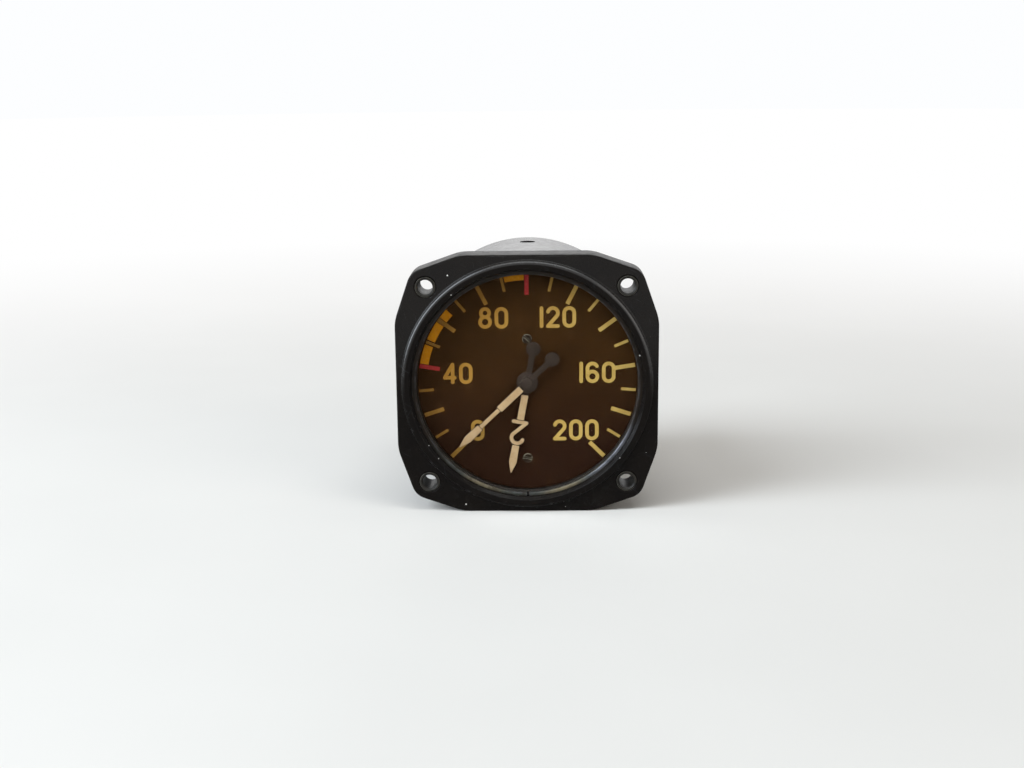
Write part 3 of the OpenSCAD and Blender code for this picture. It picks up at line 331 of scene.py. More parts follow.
# Patchy wear on the rounded edges, from the mesh's own "edge" value.
def edgeWearGroup():
    tree, source, result = newMaskGroup("edgeWear", "Amount")
    edge = addNode(tree, "ShaderNodeAttribute", attribute_name="edge").outputs["Fac"]
    patch = mathNode(tree, "MULTIPLY_ADD", noise(tree, source[0], 2600.0, 2.0, 0.5), 0.35,
                     noise(tree, source[0], 420.0, 4.0, 0.65))
    level = mathNode(tree, "SUBTRACT", 1.0, source[1])
    mask = ramp(tree, mathNode(tree, "SUBTRACT", patch, level), -0.06, 0.1)
    tree.links.new(mathNode(tree, "MULTIPLY", mask, edge, clamp=True), result[0])
    return tree


# Dust that settles on faces that look up, thicker in patches.
def settledDustGroup():
    tree, source, result = newMaskGroup("settledDust", "Amount")
    up = splitVector(tree, addNode(tree, "ShaderNodeNewGeometry").outputs["Normal"])[2]
    patch = ramp(tree, noise(tree, source[0], 160.0, 5.0, 0.7), 0.35, 0.75)
    grain = ramp(tree, noise(tree, source[0], 3800.0, 1.0, 0.5), 0.35, 0.7, 0.35, 1.0)
    mask = times(tree, times(tree, ramp(tree, up, 0.2, 0.95), patch), grain)
    tree.links.new(mathNode(tree, "MULTIPLY", mask, source[1], clamp=True), result[0])
    return tree


groups = {"hairlines": hairlineGroup(), "edgeWear": edgeWearGroup(), "settledDust": settledDustGroup()}


def useGroup(tree, name, vector, value):
    made = tree.nodes.new("ShaderNodeGroup")
    made.node_tree = groups[name]
    tree.links.new(vector, made.inputs[0])
    made.inputs[1].default_value = value
    return made.outputs[0]


def startMaterial(name):
    material = bpy.data.materials.new(name)
    material.use_nodes = True
    tree = material.node_tree
    tree.nodes.clear()
    output = tree.nodes.new("ShaderNodeOutputMaterial")
    shader = tree.nodes.new("ShaderNodeBsdfPrincipled")
    tree.links.new(shader.outputs[0], output.inputs[0])
    where = tree.nodes.new("ShaderNodeTexCoord").outputs["Object"]
    return material, tree, shader, where


# Mixes another shader into the material's own.
def mixShader(tree, shader, share, other):
    output = shader.outputs[0].links[0].to_node
    mixed = addNode(tree, "ShaderNodeMixShader", {0: share, 1: shader.outputs[0], 2: other})
    tree.links.new(mixed.outputs[0], output.inputs[0])


def addBump(tree, shader, height, distance):
    bump = addNode(tree, "ShaderNodeBump", {"Strength": 1.0, "Distance": distance, "Height": height})
    tree.links.new(bump.outputs[0], shader.inputs["Normal"])


# The distance from the object's own axis, which runs along Y.
def axisDistance(tree, where):
    return vectorNode(tree, "LENGTH", vectorNode(tree, "MULTIPLY", where, (1.0, 0.0, 1.0)))


dustTone = "8d8678"
turnedRings = 26000.0  # radians to the metre


# The common recipe: two tones in patches, grain, hairlines, edges worn to the third tone, dust.
# Turned and brushed parts add a lay.
def plainFinish(name, tones, roughness, metallic=0.0, patch=220.0, grain=3000.0, relief=0.000012,
                wear=0.42, hair=0.25, dust=0.15, gloss=0.5, lay=None):
    tone, otherTone, worn = paints(tones)
    material, tree, shader, where = startMaterial(name)
    shader.inputs["Metallic"].default_value = metallic
    shader.inputs["Specular IOR Level"].default_value = gloss
    patches = ramp(tree, noise(tree, where, patch, 4.0, 0.6), 0.3, 0.7)
    colour = mixColour(tree, patches, tone, otherTone)
    fine = noise(tree, where, grain, 2.0, 0.5)
    height = fine
    if lay == "brushed":
        along = addNode(tree, "ShaderNodeMapping", {"Vector": where, "Scale": (1, 18, 14)}).outputs[0]
        height = noise(tree, along, grain * 0.22, 3.0, 0.7)
    if lay == "turned":
        rings = mathNode(tree, "SINE", times(tree, axisDistance(tree, where), turnedRings))
        height = mathNode(tree, "MULTIPLY_ADD", rings, 0.35, fine)
    scratches = times(tree, useGroup(tree, "hairlines", where, 240.0), hair)
    edges = useGroup(tree, "edgeWear", where, wear)
    wornHere = mathNode(tree, "MAXIMUM", edges, times(tree, scratches, 0.5), clamp=True)
    colour = mixColour(tree, wornHere, colour, worn)
    settled = useGroup(tree, "settledDust", where, dust)
    colour = mixColour(tree, settled, colour, paint(dustTone))
    tree.links.new(colour, shader.inputs["Base Color"])
    level = ramp(tree, fine, 0.25, 0.75, roughness[0], roughness[1])
    level = mathNode(tree, "MULTIPLY_ADD", patches, 0.08, level)
    level = mathNode(tree, "MULTIPLY_ADD", settled, 0.5, level, clamp=True)
    tree.links.new(level, shader.inputs["Roughness"])
    addBump(tree, shader, mathNode(tree, "MULTIPLY_ADD", scratches, -0.8, height), relief)
    return material


# Moulded black. Specks are pale chips (x, z, radius) on the front. The round of the lip is glossy
# from one radius to the next, and the flange is duller than the body behind it.
caseLook = {"specks": [(-24.4, 35.1, 0.3), (-19.9, -38.9, 0.3), (-23.3, 29.2, 0.2), (29.2, -23.3, 0.16),
                       (-31.3, -19.1, 0.15), (-28.3, -23.4, 0.15), (35.2, 9.6, 0.22), (12.0, -39.8, 0.12),
                       (37.6, -22.0, 0.1)],
            "speckDepth": 0.7, "glossy": (38.35, 38.75), "flangeBack": 11.0,
            "lipCoat": 0.9, "flangeCoat": 0.04, "bodyCoat": 0.3, "flangeDull": 0.2,
            "tones": ("0a0706", "110d0a"), "grime": "1b1815", "scratch": "5c5f64", "worn": "5a5b5c",
            "chip": "e4e2dc"}


def caseFinish():
    material, tree, shader, where = startMaterial("case_black")
    shader.inputs["Coat Roughness"].default_value = 0.26
    shader.inputs["Specular IOR Level"].default_value = 0.06
    patches = ramp(tree, noise(tree, where, 90.0, 5.0, 0.6), 0.3, 0.72)
    colour = mixColour(tree, patches, *paints(caseLook["tones"]))
    grime = ramp(tree, noise(tree, where, 600.0, 4.0, 0.7), 0.5, 0.78)
    colour = mixColour(tree, times(tree, grime, 0.25), colour, paint(caseLook["grime"]))
    scratches = useGroup(tree, "hairlines", where, 150.0)
    colour = mixColour(tree, times(tree, scratches, 0.12), colour, paint(caseLook["scratch"]))
    edges = useGroup(tree, "edgeWear", where, 0.2)
    colour = mixColour(tree, times(tree, edges, 0.16), colour, paint(caseLook["worn"]))
    settled = useGroup(tree, "settledDust", where, 0.07)
    colour = mixColour(tree, settled, colour, paint(dustTone))
    flat = vectorNode(tree, "MULTIPLY", where, (1.0, 0.0, 1.0))
    depth, height = splitVector(tree, where)[1:]
    chips = None
    for across, up, size in caseLook["specks"]:
        away = vectorNode(tree, "DISTANCE", flat, (across * milli, 0.0, up * milli))
        chip = ramp(tree, away, size * milli, size * 0.45 * milli)
        chips = chip if chips is None else mathNode(tree, "MAXIMUM", chips, chip)
    speckDepth, flangeBack = caseLook["speckDepth"] * milli, caseLook["flangeBack"] * milli
    chips = times(tree, chips, ramp(tree, depth, speckDepth * 1.4, speckDepth * 0.6))
    colour = mixColour(tree, chips, colour, paint(caseLook["chip"]))
    tree.links.new(colour, shader.inputs["Base Color"])
    glossyFrom, glossyFull = (radius * milli for radius in caseLook["glossy"])
    lip = ramp(tree, axisDistance(tree, where), glossyFrom, glossyFull)
    lip = times(tree, lip, ramp(tree, depth, 0.1 * milli, -0.2 * milli))
    lip = times(tree, lip, ramp(tree, height, -6 * milli, 16 * milli))
    body = ramp(tree, depth, flangeBack - 0.6 * milli, flangeBack + 0.2 * milli,
                caseLook["flangeCoat"], caseLook["bodyCoat"])
    coat = mathNode(tree, "MULTIPLY_ADD", lip, caseLook["lipCoat"], body, clamp=True)
    tree.links.new(coat, shader.inputs["Coat Weight"])
    flange = times(tree, ramp(tree, depth, -0.2 * milli, 0.4 * milli),
                   ramp(tree, depth, flangeBack + 0.3 * milli, flangeBack - 0.2 * milli))
    level = ramp(tree, noise(tree, where, 260.0, 4.0, 0.6), 0.3, 0.7, 0.18, 0.26)
    level = mathNode(tree, "MULTIPLY_ADD", flange, caseLook["flangeDull"], level)
    rough = mathNode(tree, "MAXIMUM", settled, edges)
    level = mathNode(tree, "MULTIPLY_ADD", rough, 0.3, level, clamp=True)
    tree.links.new(level, shader.inputs["Roughness"])
    swell, fine = noise(tree, where, 700.0, 2.0, 0.5), noise(tree, where, 4200.0, 2.0, 0.5)
    relief = mathNode(tree, "MULTIPLY_ADD", fine, 0.35, swell)
    addBump(tree, shader, mathNode(tree, "MULTIPLY_ADD", scratches, -0.2, relief), 0.000003)
    return material


# Clear glass with a faint haze. Its front reflects little, as a bloomed glass does.
glassLook = {"tones": ("fdfefd", "f4f3ec"), "tint": (0.05, 0.035, 0.02, 1), "shadow": (0.96, 0.97, 0.96, 1)}


def glassFinish():
    material, tree, shader, where = startMaterial("window_glass")
    for label, value in (("Metallic", 0.0), ("Transmission Weight", 1.0), ("IOR", 1.5)):
        shader.inputs[label].default_value = value
    shader.inputs["Specular Tint"].default_value = glassLook["tint"]
    haze = ramp(tree, noise(tree, where, 75.0, 5.0, 0.65), 0.35, 0.8)
    colour = mixColour(tree, haze, *paints(glassLook["tones"]))
    tree.links.new(colour, shader.inputs["Base Color"])
    smear = ramp(tree, noise(tree, where, 140.0, 4.0, 0.7), 0.45, 0.8, 0.0, 0.012)
    tree.links.new(smear, shader.inputs["Roughness"])
    clear = addNode(tree, "ShaderNodeBsdfTransparent", {"Color": glassLook["shadow"]}).outputs[0]
    shadow = tree.nodes.new("ShaderNodeLightPath").outputs["Is Shadow Ray"]
    mixShader(tree, shader, shadow, clear)
    return material


# Aged dial paint: brown clouds, with stains and specks. Redder and darker towards the bottom, a painted
# reflection of the red below the dial.
dialLook = {"tones": ("2a1806", "36210b"), "low": "1f0e09", "stain": "4a3522", "speck": "6b5538"}


def dialFinish():
    material, tree, shader, where = startMaterial("dial_brown_black")
    shader.inputs["Specular IOR Level"].default_value = 0.03
    cloud = ramp(tree, noise(tree, where, 42.0, 5.0, 0.62), 0.28, 0.72)
    colour = mixColour(tree, cloud, *paints(dialLook["tones"]))
    height = splitVector(tree, where)[2]
    # Painted reflection: towards the bottom the dial turns to the low, redder and darker tone.
    colour = mixColour(tree, ramp(tree, height, -0.026, 0.02, 0.85, 0.0), colour, paint(dialLook["low"]))
    stain = ramp(tree, noise(tree, where, 260.0, 4.0, 0.7), 0.55, 0.8)
    colour = mixColour(tree, times(tree, stain, 0.4), colour, paint(dialLook["stain"]))
    speck = ramp(tree, noise(tree, where, 2600.0, 1.0, 0.4), 0.74, 0.8)
    colour = mixColour(tree, times(tree, speck, 0.4), colour, paint(dialLook["speck"]))
    tree.links.new(colour, shader.inputs["Base Color"])
    fine = noise(tree, where, 3000.0, 3.0, 0.6)
    tree.links.new(ramp(tree, fine, 0.3, 0.7, 0.5, 0.68), shader.inputs["Roughness"])
    addBump(tree, shader, fine, 0.0000016)
    return material


# Old luminous paint, brushed on and thin in patches. Towards the left of the dial, and most near its rim, the
# marks turn warmer and darker: painted shade of the lip's shadow.
markShadeAndThinTones = {"rim": "3b2611", "thin": "4b3218"}


def markFinish(name, tones, leftShadeShare, rimShade=0.0):
    tone, otherTone, shadedTone = paints(tones)
    material, tree, shader, where = startMaterial(name)
    shader.inputs["Specular IOR Level"].default_value = 0.12
    cloud = ramp(tree, noise(tree, where, 330.0, 4.0, 0.6), 0.3, 0.7)
    colour = mixColour(tree, cloud, tone, otherTone)
    sides = splitVector(tree, where)
    across = mathNode(tree, "MULTIPLY_ADD", sides[2], -0.4, sides[0])
    # Painted shade: the colour turns to the third, darker tone towards the left of the dial.
    colour = mixColour(tree, ramp(tree, across, -0.03, 0.024, leftShadeShare, 0.0), colour, shadedTone)
    # Painted shade near the rim, strongest on the left, where the lip's shadow falls.
    shade = times(tree, ramp(tree, vectorNode(tree, "LENGTH", where), 0.026, 0.032),
                  ramp(tree, across, 0.014, -0.024, 0.1, 1.0))
    colour = mixColour(tree, times(tree, shade, rimShade), colour, paint(markShadeAndThinTones["rim"]))
    thin = ramp(tree, noise(tree, where, 1500.0, 4.0, 0.7), 0.52, 0.82)
    colour = mixColour(tree, times(tree, thin, 0.55), colour, paint(markShadeAndThinTones["thin"]))
    tree.links.new(colour, shader.inputs["Base Color"])
    fine = noise(tree, where, 2400.0, 4.0, 0.65)
    tree.links.new(ramp(tree, fine, 0.3, 0.7, 0.55, 0.8), shader.inputs["Roughness"])
    addBump(tree, shader, fine, 0.00003)
    return material


# A soft window between two directions on the dial, from 0 to 1.
def arcMask(tree, angle, first, last, soft=6.0):
    begin = ramp(tree, angle, first - soft, first + soft)
    return times(tree, begin, ramp(tree, angle, last + soft, last - soft))


# The split ring, blackened. Along the bottom of its inner round, lighter grey and tan arcs are painted
# highlight where light catches it from above. At the lower right it is bare metal that is lighter and placed
# where the lamp's highlight falls, so partly wear and partly painted highlight.
# Each arc runs between two directions.
ringLook = {"lowHighlight": (-140, -50), "tan": ((-80, -62), (-122, -106)), "bareAndHighlight": (-56, -26), "edgeOut": 36.25,
            "tones": ("120d08", "1c140c"), "lowHighlightTone": "6f756f", "tanHighlightTone": "8a7c5f", "bareHighlightTone": "7a7c84"}


def ringFinish():
    material, tree, shader, where = startMaterial("ring_olive")
    shader.inputs["Specular IOR Level"].default_value = 0.14
    cloud = ramp(tree, noise(tree, where, 160.0, 4.0, 0.6), 0.3, 0.7)
    colour = mixColour(tree, cloud, *paints(ringLook["tones"]))
    x, depth, height = splitVector(tree, where)
    angle = times(tree, mathNode(tree, "ARCTAN2", height, x), 180 / math.pi)
    edgeOut = ringLook["edgeOut"] * milli
    # Painted highlight is kept to the inner round at the front; the outer flat stays dark, as in shade.
    front = times(tree, ramp(tree, axisDistance(tree, where), edgeOut, edgeOut - 0.35 * milli),
                  ramp(tree, depth, 0.8 * milli, 0.4 * milli))
    patch = times(tree, ramp(tree, noise(tree, where, 210.0, 4.0, 0.7), 0.28, 0.62, 0.25, 1.0), front)
    lowHighlight = times(tree, arcMask(tree, angle, *ringLook["lowHighlight"], 12.0), times(tree, patch, 0.26))
    colour = mixColour(tree, lowHighlight, colour, paint(ringLook["lowHighlightTone"]))
    # The tan arcs are painted highlight too.
    tan = mathNode(tree, "ADD", *(arcMask(tree, angle, *arc) for arc in ringLook["tan"]), clamp=True)
    colour = mixColour(tree, times(tree, times(tree, tan, patch), 0.6), colour, paint(ringLook["tanHighlightTone"]))
    bareAndHighlight = times(tree, arcMask(tree, angle, *ringLook["bareAndHighlight"], 10.0), patch)
    bareAndHighlight = mathNode(tree, "MAXIMUM", bareAndHighlight, times(tree, useGroup(tree, "edgeWear", where, 0.35), 0.15))
    colour = mixColour(tree, times(tree, bareAndHighlight, 0.65), colour, paint(ringLook["bareHighlightTone"]))
    tree.links.new(colour, shader.inputs["Base Color"])
    tree.links.new(times(tree, bareAndHighlight, 0.8), shader.inputs["Metallic"])
    fine = noise(tree, where, 3600.0, 2.0, 0.5)
    tree.links.new(ramp(tree, fine, 0.25, 0.75, 0.3, 0.44), shader.inputs["Roughness"])
    addBump(tree, shader, fine, 0.000008)
    return material


plainLooks = {
    "bushing_steel": dict(tones=("12110f", "1c1a17", "4c4840"), roughness=(0.34, 0.5), patch=500.0,
                          grain=4200.0, relief=0.00001, hair=0.3, dust=0.05, gloss=0.2),
    "gasket_cork": dict(tones=("150f0a", "20170f", "33271a"), roughness=(0.75, 0.9), patch=900.0,
                        grain=2600.0, relief=0.00005, wear=0.2, hair=0.0, dust=0.0),
    # The dial screws' pale worn rims are partly wear and partly painted highlight, the crescents of light on
    # their heads.
    "small_screw_black": dict(tones=("19110c", "241a12", "7c7668"), roughness=(0.34, 0.5), patch=700.0,
                              grain=4200.0, relief=0.00001, wear=0.38, hair=0.15, dust=0.0, gloss=0.06),
    "pointer_black": dict(tones=("261d18", "2f2620", "4d453c"), roughness=(0.4, 0.6), patch=300.0,
                          grain=3600.0, relief=0.00001, wear=0.25, hair=0.2, dust=0.0, gloss=0.1),
    "hub_black": dict(tones=("2a211c", "352b25", "5a5045"), roughness=(0.38, 0.54), patch=400.0,
                      grain=4200.0, relief=0.000006, wear=0.1, hair=0.2, dust=0.0, gloss=0.14),
    "movement_brass": dict(tones=("b3955c", "957a47", "dac79a"), roughness=(0.24, 0.42), metallic=1.0,
                           patch=200.0, relief=0.00001, wear=0.5, hair=0.5, dust=0.05, lay="brushed"),
    "arbor_steel": dict(tones=("a9aaad", "8f9093", "d8d9da"), roughness=(0.2, 0.36), metallic=1.0,
                        patch=300.0, grain=4200.0, relief=0.000008, wear=0.5, hair=0.5, dust=0.0,
                        lay="turned"),
    "tube_bronze": dict(tones=("c08c50", "9a6c3a", "e0b27c"), roughness=(0.26, 0.44), metallic=1.0,
                        patch=150.0, relief=0.00001, wear=0.5, hair=0.4, dust=0.05),
    "spring_bronze": dict(tones=("b08f56", "8f713f", "d8bd86"), roughness=(0.24, 0.4), metallic=1.0,
                          patch=300.0, grain=3600.0, relief=0.000006, wear=0.4, hair=0.3, dust=0.0),
    "base_alloy": dict(tones=("8b8c8c", "7b7d7e", "c0c1c1"), roughness=(0.36, 0.56), metallic=0.9,
                       patch=130.0, grain=2600.0, relief=0.00002, hair=0.35, dust=0.1, lay="turned"),
    "seal_rubber": dict(tones=("141414", "1d1c1b", "2e2c2a"), roughness=(0.6, 0.8), patch=400.0,
                        relief=0.00003, wear=0.2, hair=0.1, dust=0.05),
    "case_screw_black": dict(tones=("141415", "201f1e", "6f6b63"), roughness=(0.6, 0.75), patch=600.0,
                             grain=4200.0, relief=0.00001, wear=0.3, hair=0.4, dust=0.0, gloss=0.1),
}
# Each third tone is the painted shade that the marks and pointers take on towards the left of the dial.
markLooks = {
    "mark_ochre": dict(tones=("b49753", "a68745", "93641e"), leftShadeShare=0.82, rimShade=0.45),
    "band_amber": dict(tones=("ca8808", "b87605", "c07806"), leftShadeShare=0.4, rimShade=0.15),
    "limit_red": dict(tones=("a02c30", "8c2226", "94302a"), leftShadeShare=0.3),
    "pointer_cream": dict(tones=("ad9372", "a08362", "aa8c66"), leftShadeShare=0.3),
}
finishes = {"case_black": caseFinish(), "window_glass": glassFinish(), "dial_brown_black": dialFinish(),
            "ring_olive": ringFinish()}
finishes.update({name: markFinish(name, **look) for name, look in markLooks.items()})
finishes.update({name: plainFinish(name, **look) for name, look in plainLooks.items()})
for node in nodes.values():
    for slot in node.material_slots:
        slot.material = finishes[slot.material.name.split(".")[0]]
print("materials made:", len(finishes))


# One moulding: the flange with its four lugs, the lip in front, the turned body behind. The body's
# mouldings stand a skin inside the flange's faces, on feet that reach deeper.
case = {"radius": 39.69, "depth": 60.0, "bore": 36.29, "rearRound": 1.0, "flangeHalf": 41.275,
        "flangeDepth": 11.0, "flat": 41.6, "blend": 14.0, "lug": 5.8, "edge": 0.6, "holeAt": 31.4309,
        "bushing": 3.2, "hole": 2.3, "lip": 1.5, "lipRound": 1.1, "bevelOut": 37.19, "bevelBack": -0.45,
        "glassBore": 36.29, "opening": 34.99, "ledgeFront": 4.2, "ledgeBack": 5.6, "grooveOut": 37.19,
        "grooveFront": 0.2, "grooveBack": 1.4, "moulding": 0.33, "foot": 1.2, "skin": 0.01,
        "footDepth": 0.3}
lugSpots = [(sx * case["holeAt"], sz * case["holeAt"]) for sx, sz in ((1, 1), (-1, 1), (-1, -1), (1, -1))]


# The outline of one side from the middle of a lug to the middle of the next, turned four times.
def flangeOutline():
    half, at, end, lug = case["flangeHalf"], case["holeAt"], case["flat"] / 2, case["lug"]
    runX, runZ = at - end, half - at
    slope = math.degrees(math.atan2(runZ, runX) - math.asin(lug / math.hypot(runX, runZ)))
    blendRun = case["blend"] * math.tan(math.radians(slope) / 2)
    corner = [Vector((at, at)) + polar(lug, slope + (90 - 2 * slope) * k / 14) for k in range(15)]
    centre = Vector((end - blendRun, half - case["blend"]))
    right = [centre + polar(case["blend"], 90 - slope + slope * k / 5) for k in range(6)]
    side = corner + right + [Vector((-p.x, p.y)) for p in reversed(right)]
    return [Matrix.Rotation(math.radians(90 * k), 2) @ point for k in range(4) for point in side]


def makeCase():
    bm = bmesh.new()
    edge = (case["edge"], case["edge"])
    holes = [circleLine(spot, case["bushing"], 48, True) for spot in lugSpots]
    out, back, foot = take(case, "radius", "flangeDepth", "foot")
    skin, deep = case["skin"], case["footDepth"]
    inner = circleLine((0, 0), out - foot, 128, True)
    addPlate(bm, [flangeOutline(), inner] + holes, 0, back, edge, edge, 4, 0.12)
    bore, opening = case["glassBore"], case["opening"]
    moulding, grooveOut = case["moulding"], case["grooveOut"]
    line = [(bore, case["bevelBack"], 0.25), (case["bevelOut"], -case["lip"], 0.35),
            (out, -case["lip"], case["lipRound"]), (out, skin, moulding), (out + foot, skin, 0),
            (out + foot, deep, 0), (out - deep, deep, 0), (out - deep, back - deep, 0),
            (out + foot, back - deep, 0), (out + foot, back - skin, 0), (out, back - skin, moulding),
            (out, case["depth"], case["rearRound"]), (case["bore"], case["depth"], 0.35),
            (case["bore"], case["ledgeBack"], 0.1), (opening, case["ledgeBack"], 0.2),
            (opening, case["ledgeFront"], 0.2), (bore, case["ledgeFront"], 0.1),
            (bore, case["grooveBack"], 0), (grooveOut, case["grooveBack"], 0),
            (grooveOut, case["grooveFront"], 0), (bore, case["grooveFront"], 0.1)]
    spinLine(bm, roundCorners(line, 5), 224)
    return makePiece("caseBody", bm, "case_black", replaced=("case",))


caseScrew = {"depthAt": 46.5, "top": 39.34, "head": 2.6, "shank": 1.4, "tip": 32.89, "slot": 0.7,
             "slotDepth": 0.7, "shankGap": 0.02, "headGap": 0.05, "cut": (-30, -41),
             "turns": (0, 35, 80, -20)}


# Stands one radial screw, made along -Y, at its quarter of the case.
def radialPlace(quarter):
    depth = Matrix.Translation((0, caseScrew["depthAt"], 0))
    return rotation(90 * quarter, "Y") @ depth @ rotation(-90, "X")


# Countersunk holes for the radial screws, from inside the case to outside.
def makeCaseHoles():
    bm = bmesh.new()
    inside, outside = caseScrew["cut"]
    top, head, shank = -caseScrew["top"], caseScrew["head"], caseScrew["shank"]
    wideShank, wideHead = shank + caseScrew["shankGap"], head + caseScrew["headGap"]
    line = [(0, inside), (wideShank, inside), (wideShank, top + head - shank), (wideHead, top),
            (wideHead, outside), (0, outside)]
    for quarter in range(4):
        place(bm, spinLine(bm, line, 40), radialPlace(quarter))
    return bm


def makeBushings():
    bm = bmesh.new()
    hole, out, back = case["hole"], case["bushing"] - 0.02, case["flangeDepth"]
    line = [(hole, 0.4, 0.1), (hole + 0.4, 0, 0.06), (out, 0, 0.12), (out, back, 0.12), (hole, back, 0.3)]
    for spot in lugSpots:
        spinLine(bm, roundCorners(line, 3, 0.04), 64, spot)
    makePiece("bushings", bm, "bushing_steel", replaced=("flange_bushings",))


cutAway(makeCase(), makeCaseHoles())
makeBushings()
print("case made")


# The split ring, with its gap at the bottom.
ring = {"inside": 35.09, "outside": 37.09, "front": 0.2, "back": 1.4, "split": 0.8, "innerRound": 0.5}


def makeRing():
    inside, outside, front, back = take(ring, "inside", "outside", "front", "back")
    half = math.degrees(math.asin(ring["split"] / 2 / inside))
    line = [(inside, front, ring["innerRound"]), (outside, front, 0.1), (outside, back, 0.1),
            (inside, back, 0.25)]
    bm = bmesh.new()
    spinLine(bm, roundCorners(line, 5, 0.05), 200, start=-90 + half, sweep=360 - 2 * half)
    makePiece("retainingRing", bm, "ring_olive", replaced=("retaining_ring",))


glass = {"radius": 35.98, "front": 1.4, "back": 3.4, "edge": 0.25}


def makeGlass():
    out, front, back, edge = take(glass, "radius", "front", "back", "edge")
    bm = bmesh.new()
    line = [(0, front, 0), (out, front, edge), (out, back, edge), (0, back, 0)]
    spinLine(bm, roundCorners(line, 3, 0.05), 160)
    makePiece("coverGlass", bm, "window_glass", replaced=("cover_glass",))


gasket = {"inside": 35.09, "outside": 35.98, "front": 3.405, "back": 4.195}


def makeGasket():
    inside, outside, front, back = take(gasket, "inside", "outside", "front", "back")
    bm = bmesh.new()
    line = [(inside, front, 0.2), (outside, front, 0.1), (outside, back, 0.1), (inside, back, 0.2)]
    spinLine(bm, roundCorners(line, 4, 0.05), 160)
    makePiece("windowGasket", bm, "gasket_cork", replaced=("glass_gasket",))


dialScrew = {"radius": 1.5, "front": 5.5, "back": 6.0, "shank": 0.9, "shankEnd": 9.0, "sunk": 0.02,
             "tipRound": 0.1, "slot": 0.45, "slotDepth": 0.28, "edge": 0.12, "heights": (14.0, -25.0),
             "turns": (40, 12)}


def makeDialScrews():
    bm = bmesh.new()
    for height, turned in zip(dialScrew["heights"], dialScrew["turns"]):
        made = addScrew(bm, dialScrew, dialScrew["front"], dialScrew["back"], dialScrew["shankEnd"])
        place(bm, made, Matrix.Translation((0, 0, height)) @ rotation(turned, "Y"))
    makePiece("dialScrews", bm, "small_screw_black", replaced=("dial_screws",))


# The front pointer's cap, dished round a raised centre, and the thin collar of the rear pointer.
# The face gives radius, depth behind the cap's front, and rounding.
hub = {"face": ((0, 0.065, 0), (0.16, 0.065, 0), (0.36, 0, 0.06), (0.62, 0, 0), (0.66, 0.06, 0),
                (0.76, 0.06, 0), (0.8, 0, 0)),
       "cap": 1.8, "capFront": 3.72, "capRound": 0.17, "plateFront": 4.148, "plateBack": 4.502,
       "bush": 1.1, "boss": 1.5, "bossBack": 4.75, "bore": 0.605, "boreEnd": 3.795}
collar = {"inside": 1.16, "step": 2.25, "stepDepth": 0.05, "outside": 3.32, "front": 4.86, "back": 4.998}


def makeHub():
    cap, plateFront, plateBack, bush = take(hub, "cap", "plateFront", "plateBack", "bush")
    boss, bossBack, bore, boreEnd = take(hub, "boss", "bossBack", "bore", "boreEnd")
    line = [(radius, hub["capFront"] + sunk, rounding) for radius, sunk, rounding in hub["face"]]
    line += [(cap, hub["capFront"], hub["capRound"]), (cap, plateFront, 0), (bush, plateFront, 0),
             (bush, plateBack, 0), (boss, plateBack, 0), (boss, bossBack, 0.06), (bore, bossBack, 0),
             (bore, boreEnd, 0), (0, boreEnd, 0)]
    bm = bmesh.new()
    spinLine(bm, roundCorners(line, 4, 0.03), 72)
    makePiece("pointer1Hub", bm, "hub_black", "pointer_1_body", ("pointer_1_hub",))


def makeCollar():
    inside, outside, front, back = take(collar, "inside", "outside", "front", "back")
    step, rimFront = collar["step"], front + collar["stepDepth"]
    line = [(inside, front, 0.04), (step, front, 0.03), (step + 0.15, rimFront, 0.03),
            (outside, rimFront, 0.08), (outside, back, 0), (inside, back, 0)]
    bm = bmesh.new()
    spinLine(bm, roundCorners(line, 3, 0.02), 96)
    makePiece("pointer2Collar", bm, "hub_black", "pointer_2_body")


# Raised cream paint on the pointers, laid for one that points up: a bar, the figure 1 or 2, a tip.
pointer = {"rests": (-133.7, -169.5), "fronts": (4.15, 5.0), "rise": 0.16, "dome": (0.16, 0.11),
           "wide": 2.2, "barStarts": (2.7, 4.2), "barEnd": 12.4, "figureStart": 12.6, "figureEnd": 21.0,
           "gap": 0.2, "shoulder": 26.6, "shoulderWide": 2.5, "shoulderRound": 0.6, "corner": 0.2,
           "length": 30.7, "oneWide": 1.254, "twoWide": 1.15, "twoRadius": 1.85, "twoFoot": 2.1,
           "bowl": (165, -32)}


# Outline of a stroke along a path, with round ends and round outer corners.
def strokeOutline(path, width):
    left, right = [], []
    half = width / 2
    for i, here in enumerate(path):
        a = (here - path[i - 1]).normalized() if i else (path[1] - path[0]).normalized()
        b = (path[i + 1] - here).normalized() if i + 1 < len(path) else a
        turned = math.degrees(math.atan2(a.x * b.y - a.y * b.x, a.dot(b)))
        inner = here + Vector((-a.y - b.y, a.x + b.x)) * half / (1 + a.dot(b))
        outer = here * 2 - inner
        heading = math.degrees(math.atan2(a.y, a.x))
        fan = [turned * k / 6 for k in range(7)]
        left += [here + polar(half, heading + 90 + t) for t in fan] if turned < -20 else [inner]
        right += [here + polar(half, heading - 90 + t) for t in fan] if turned > 20 else [outer]
    ahead = math.degrees(math.atan2(*reversed(path[-1] - path[-2])))
    behind = math.degrees(math.atan2(*reversed(path[0] - path[1])))
    endCap = [path[-1] + polar(half, ahead + 90 - 180 * k / 8) for k in range(1, 8)]
    startCap = [path[0] + polar(half, behind + 90 - 180 * k / 8) for k in range(1, 8)]
    return (left + endCap + right[::-1] + startCap)[::-1]


def barOutline(width, start, end):
    half = width / 2
    corners = [(-half, start), (half, start), (half, end), (-half, end)]
    return roundCorners([(u, v, pointer["corner"]) for u, v in corners], 3, 0.05)


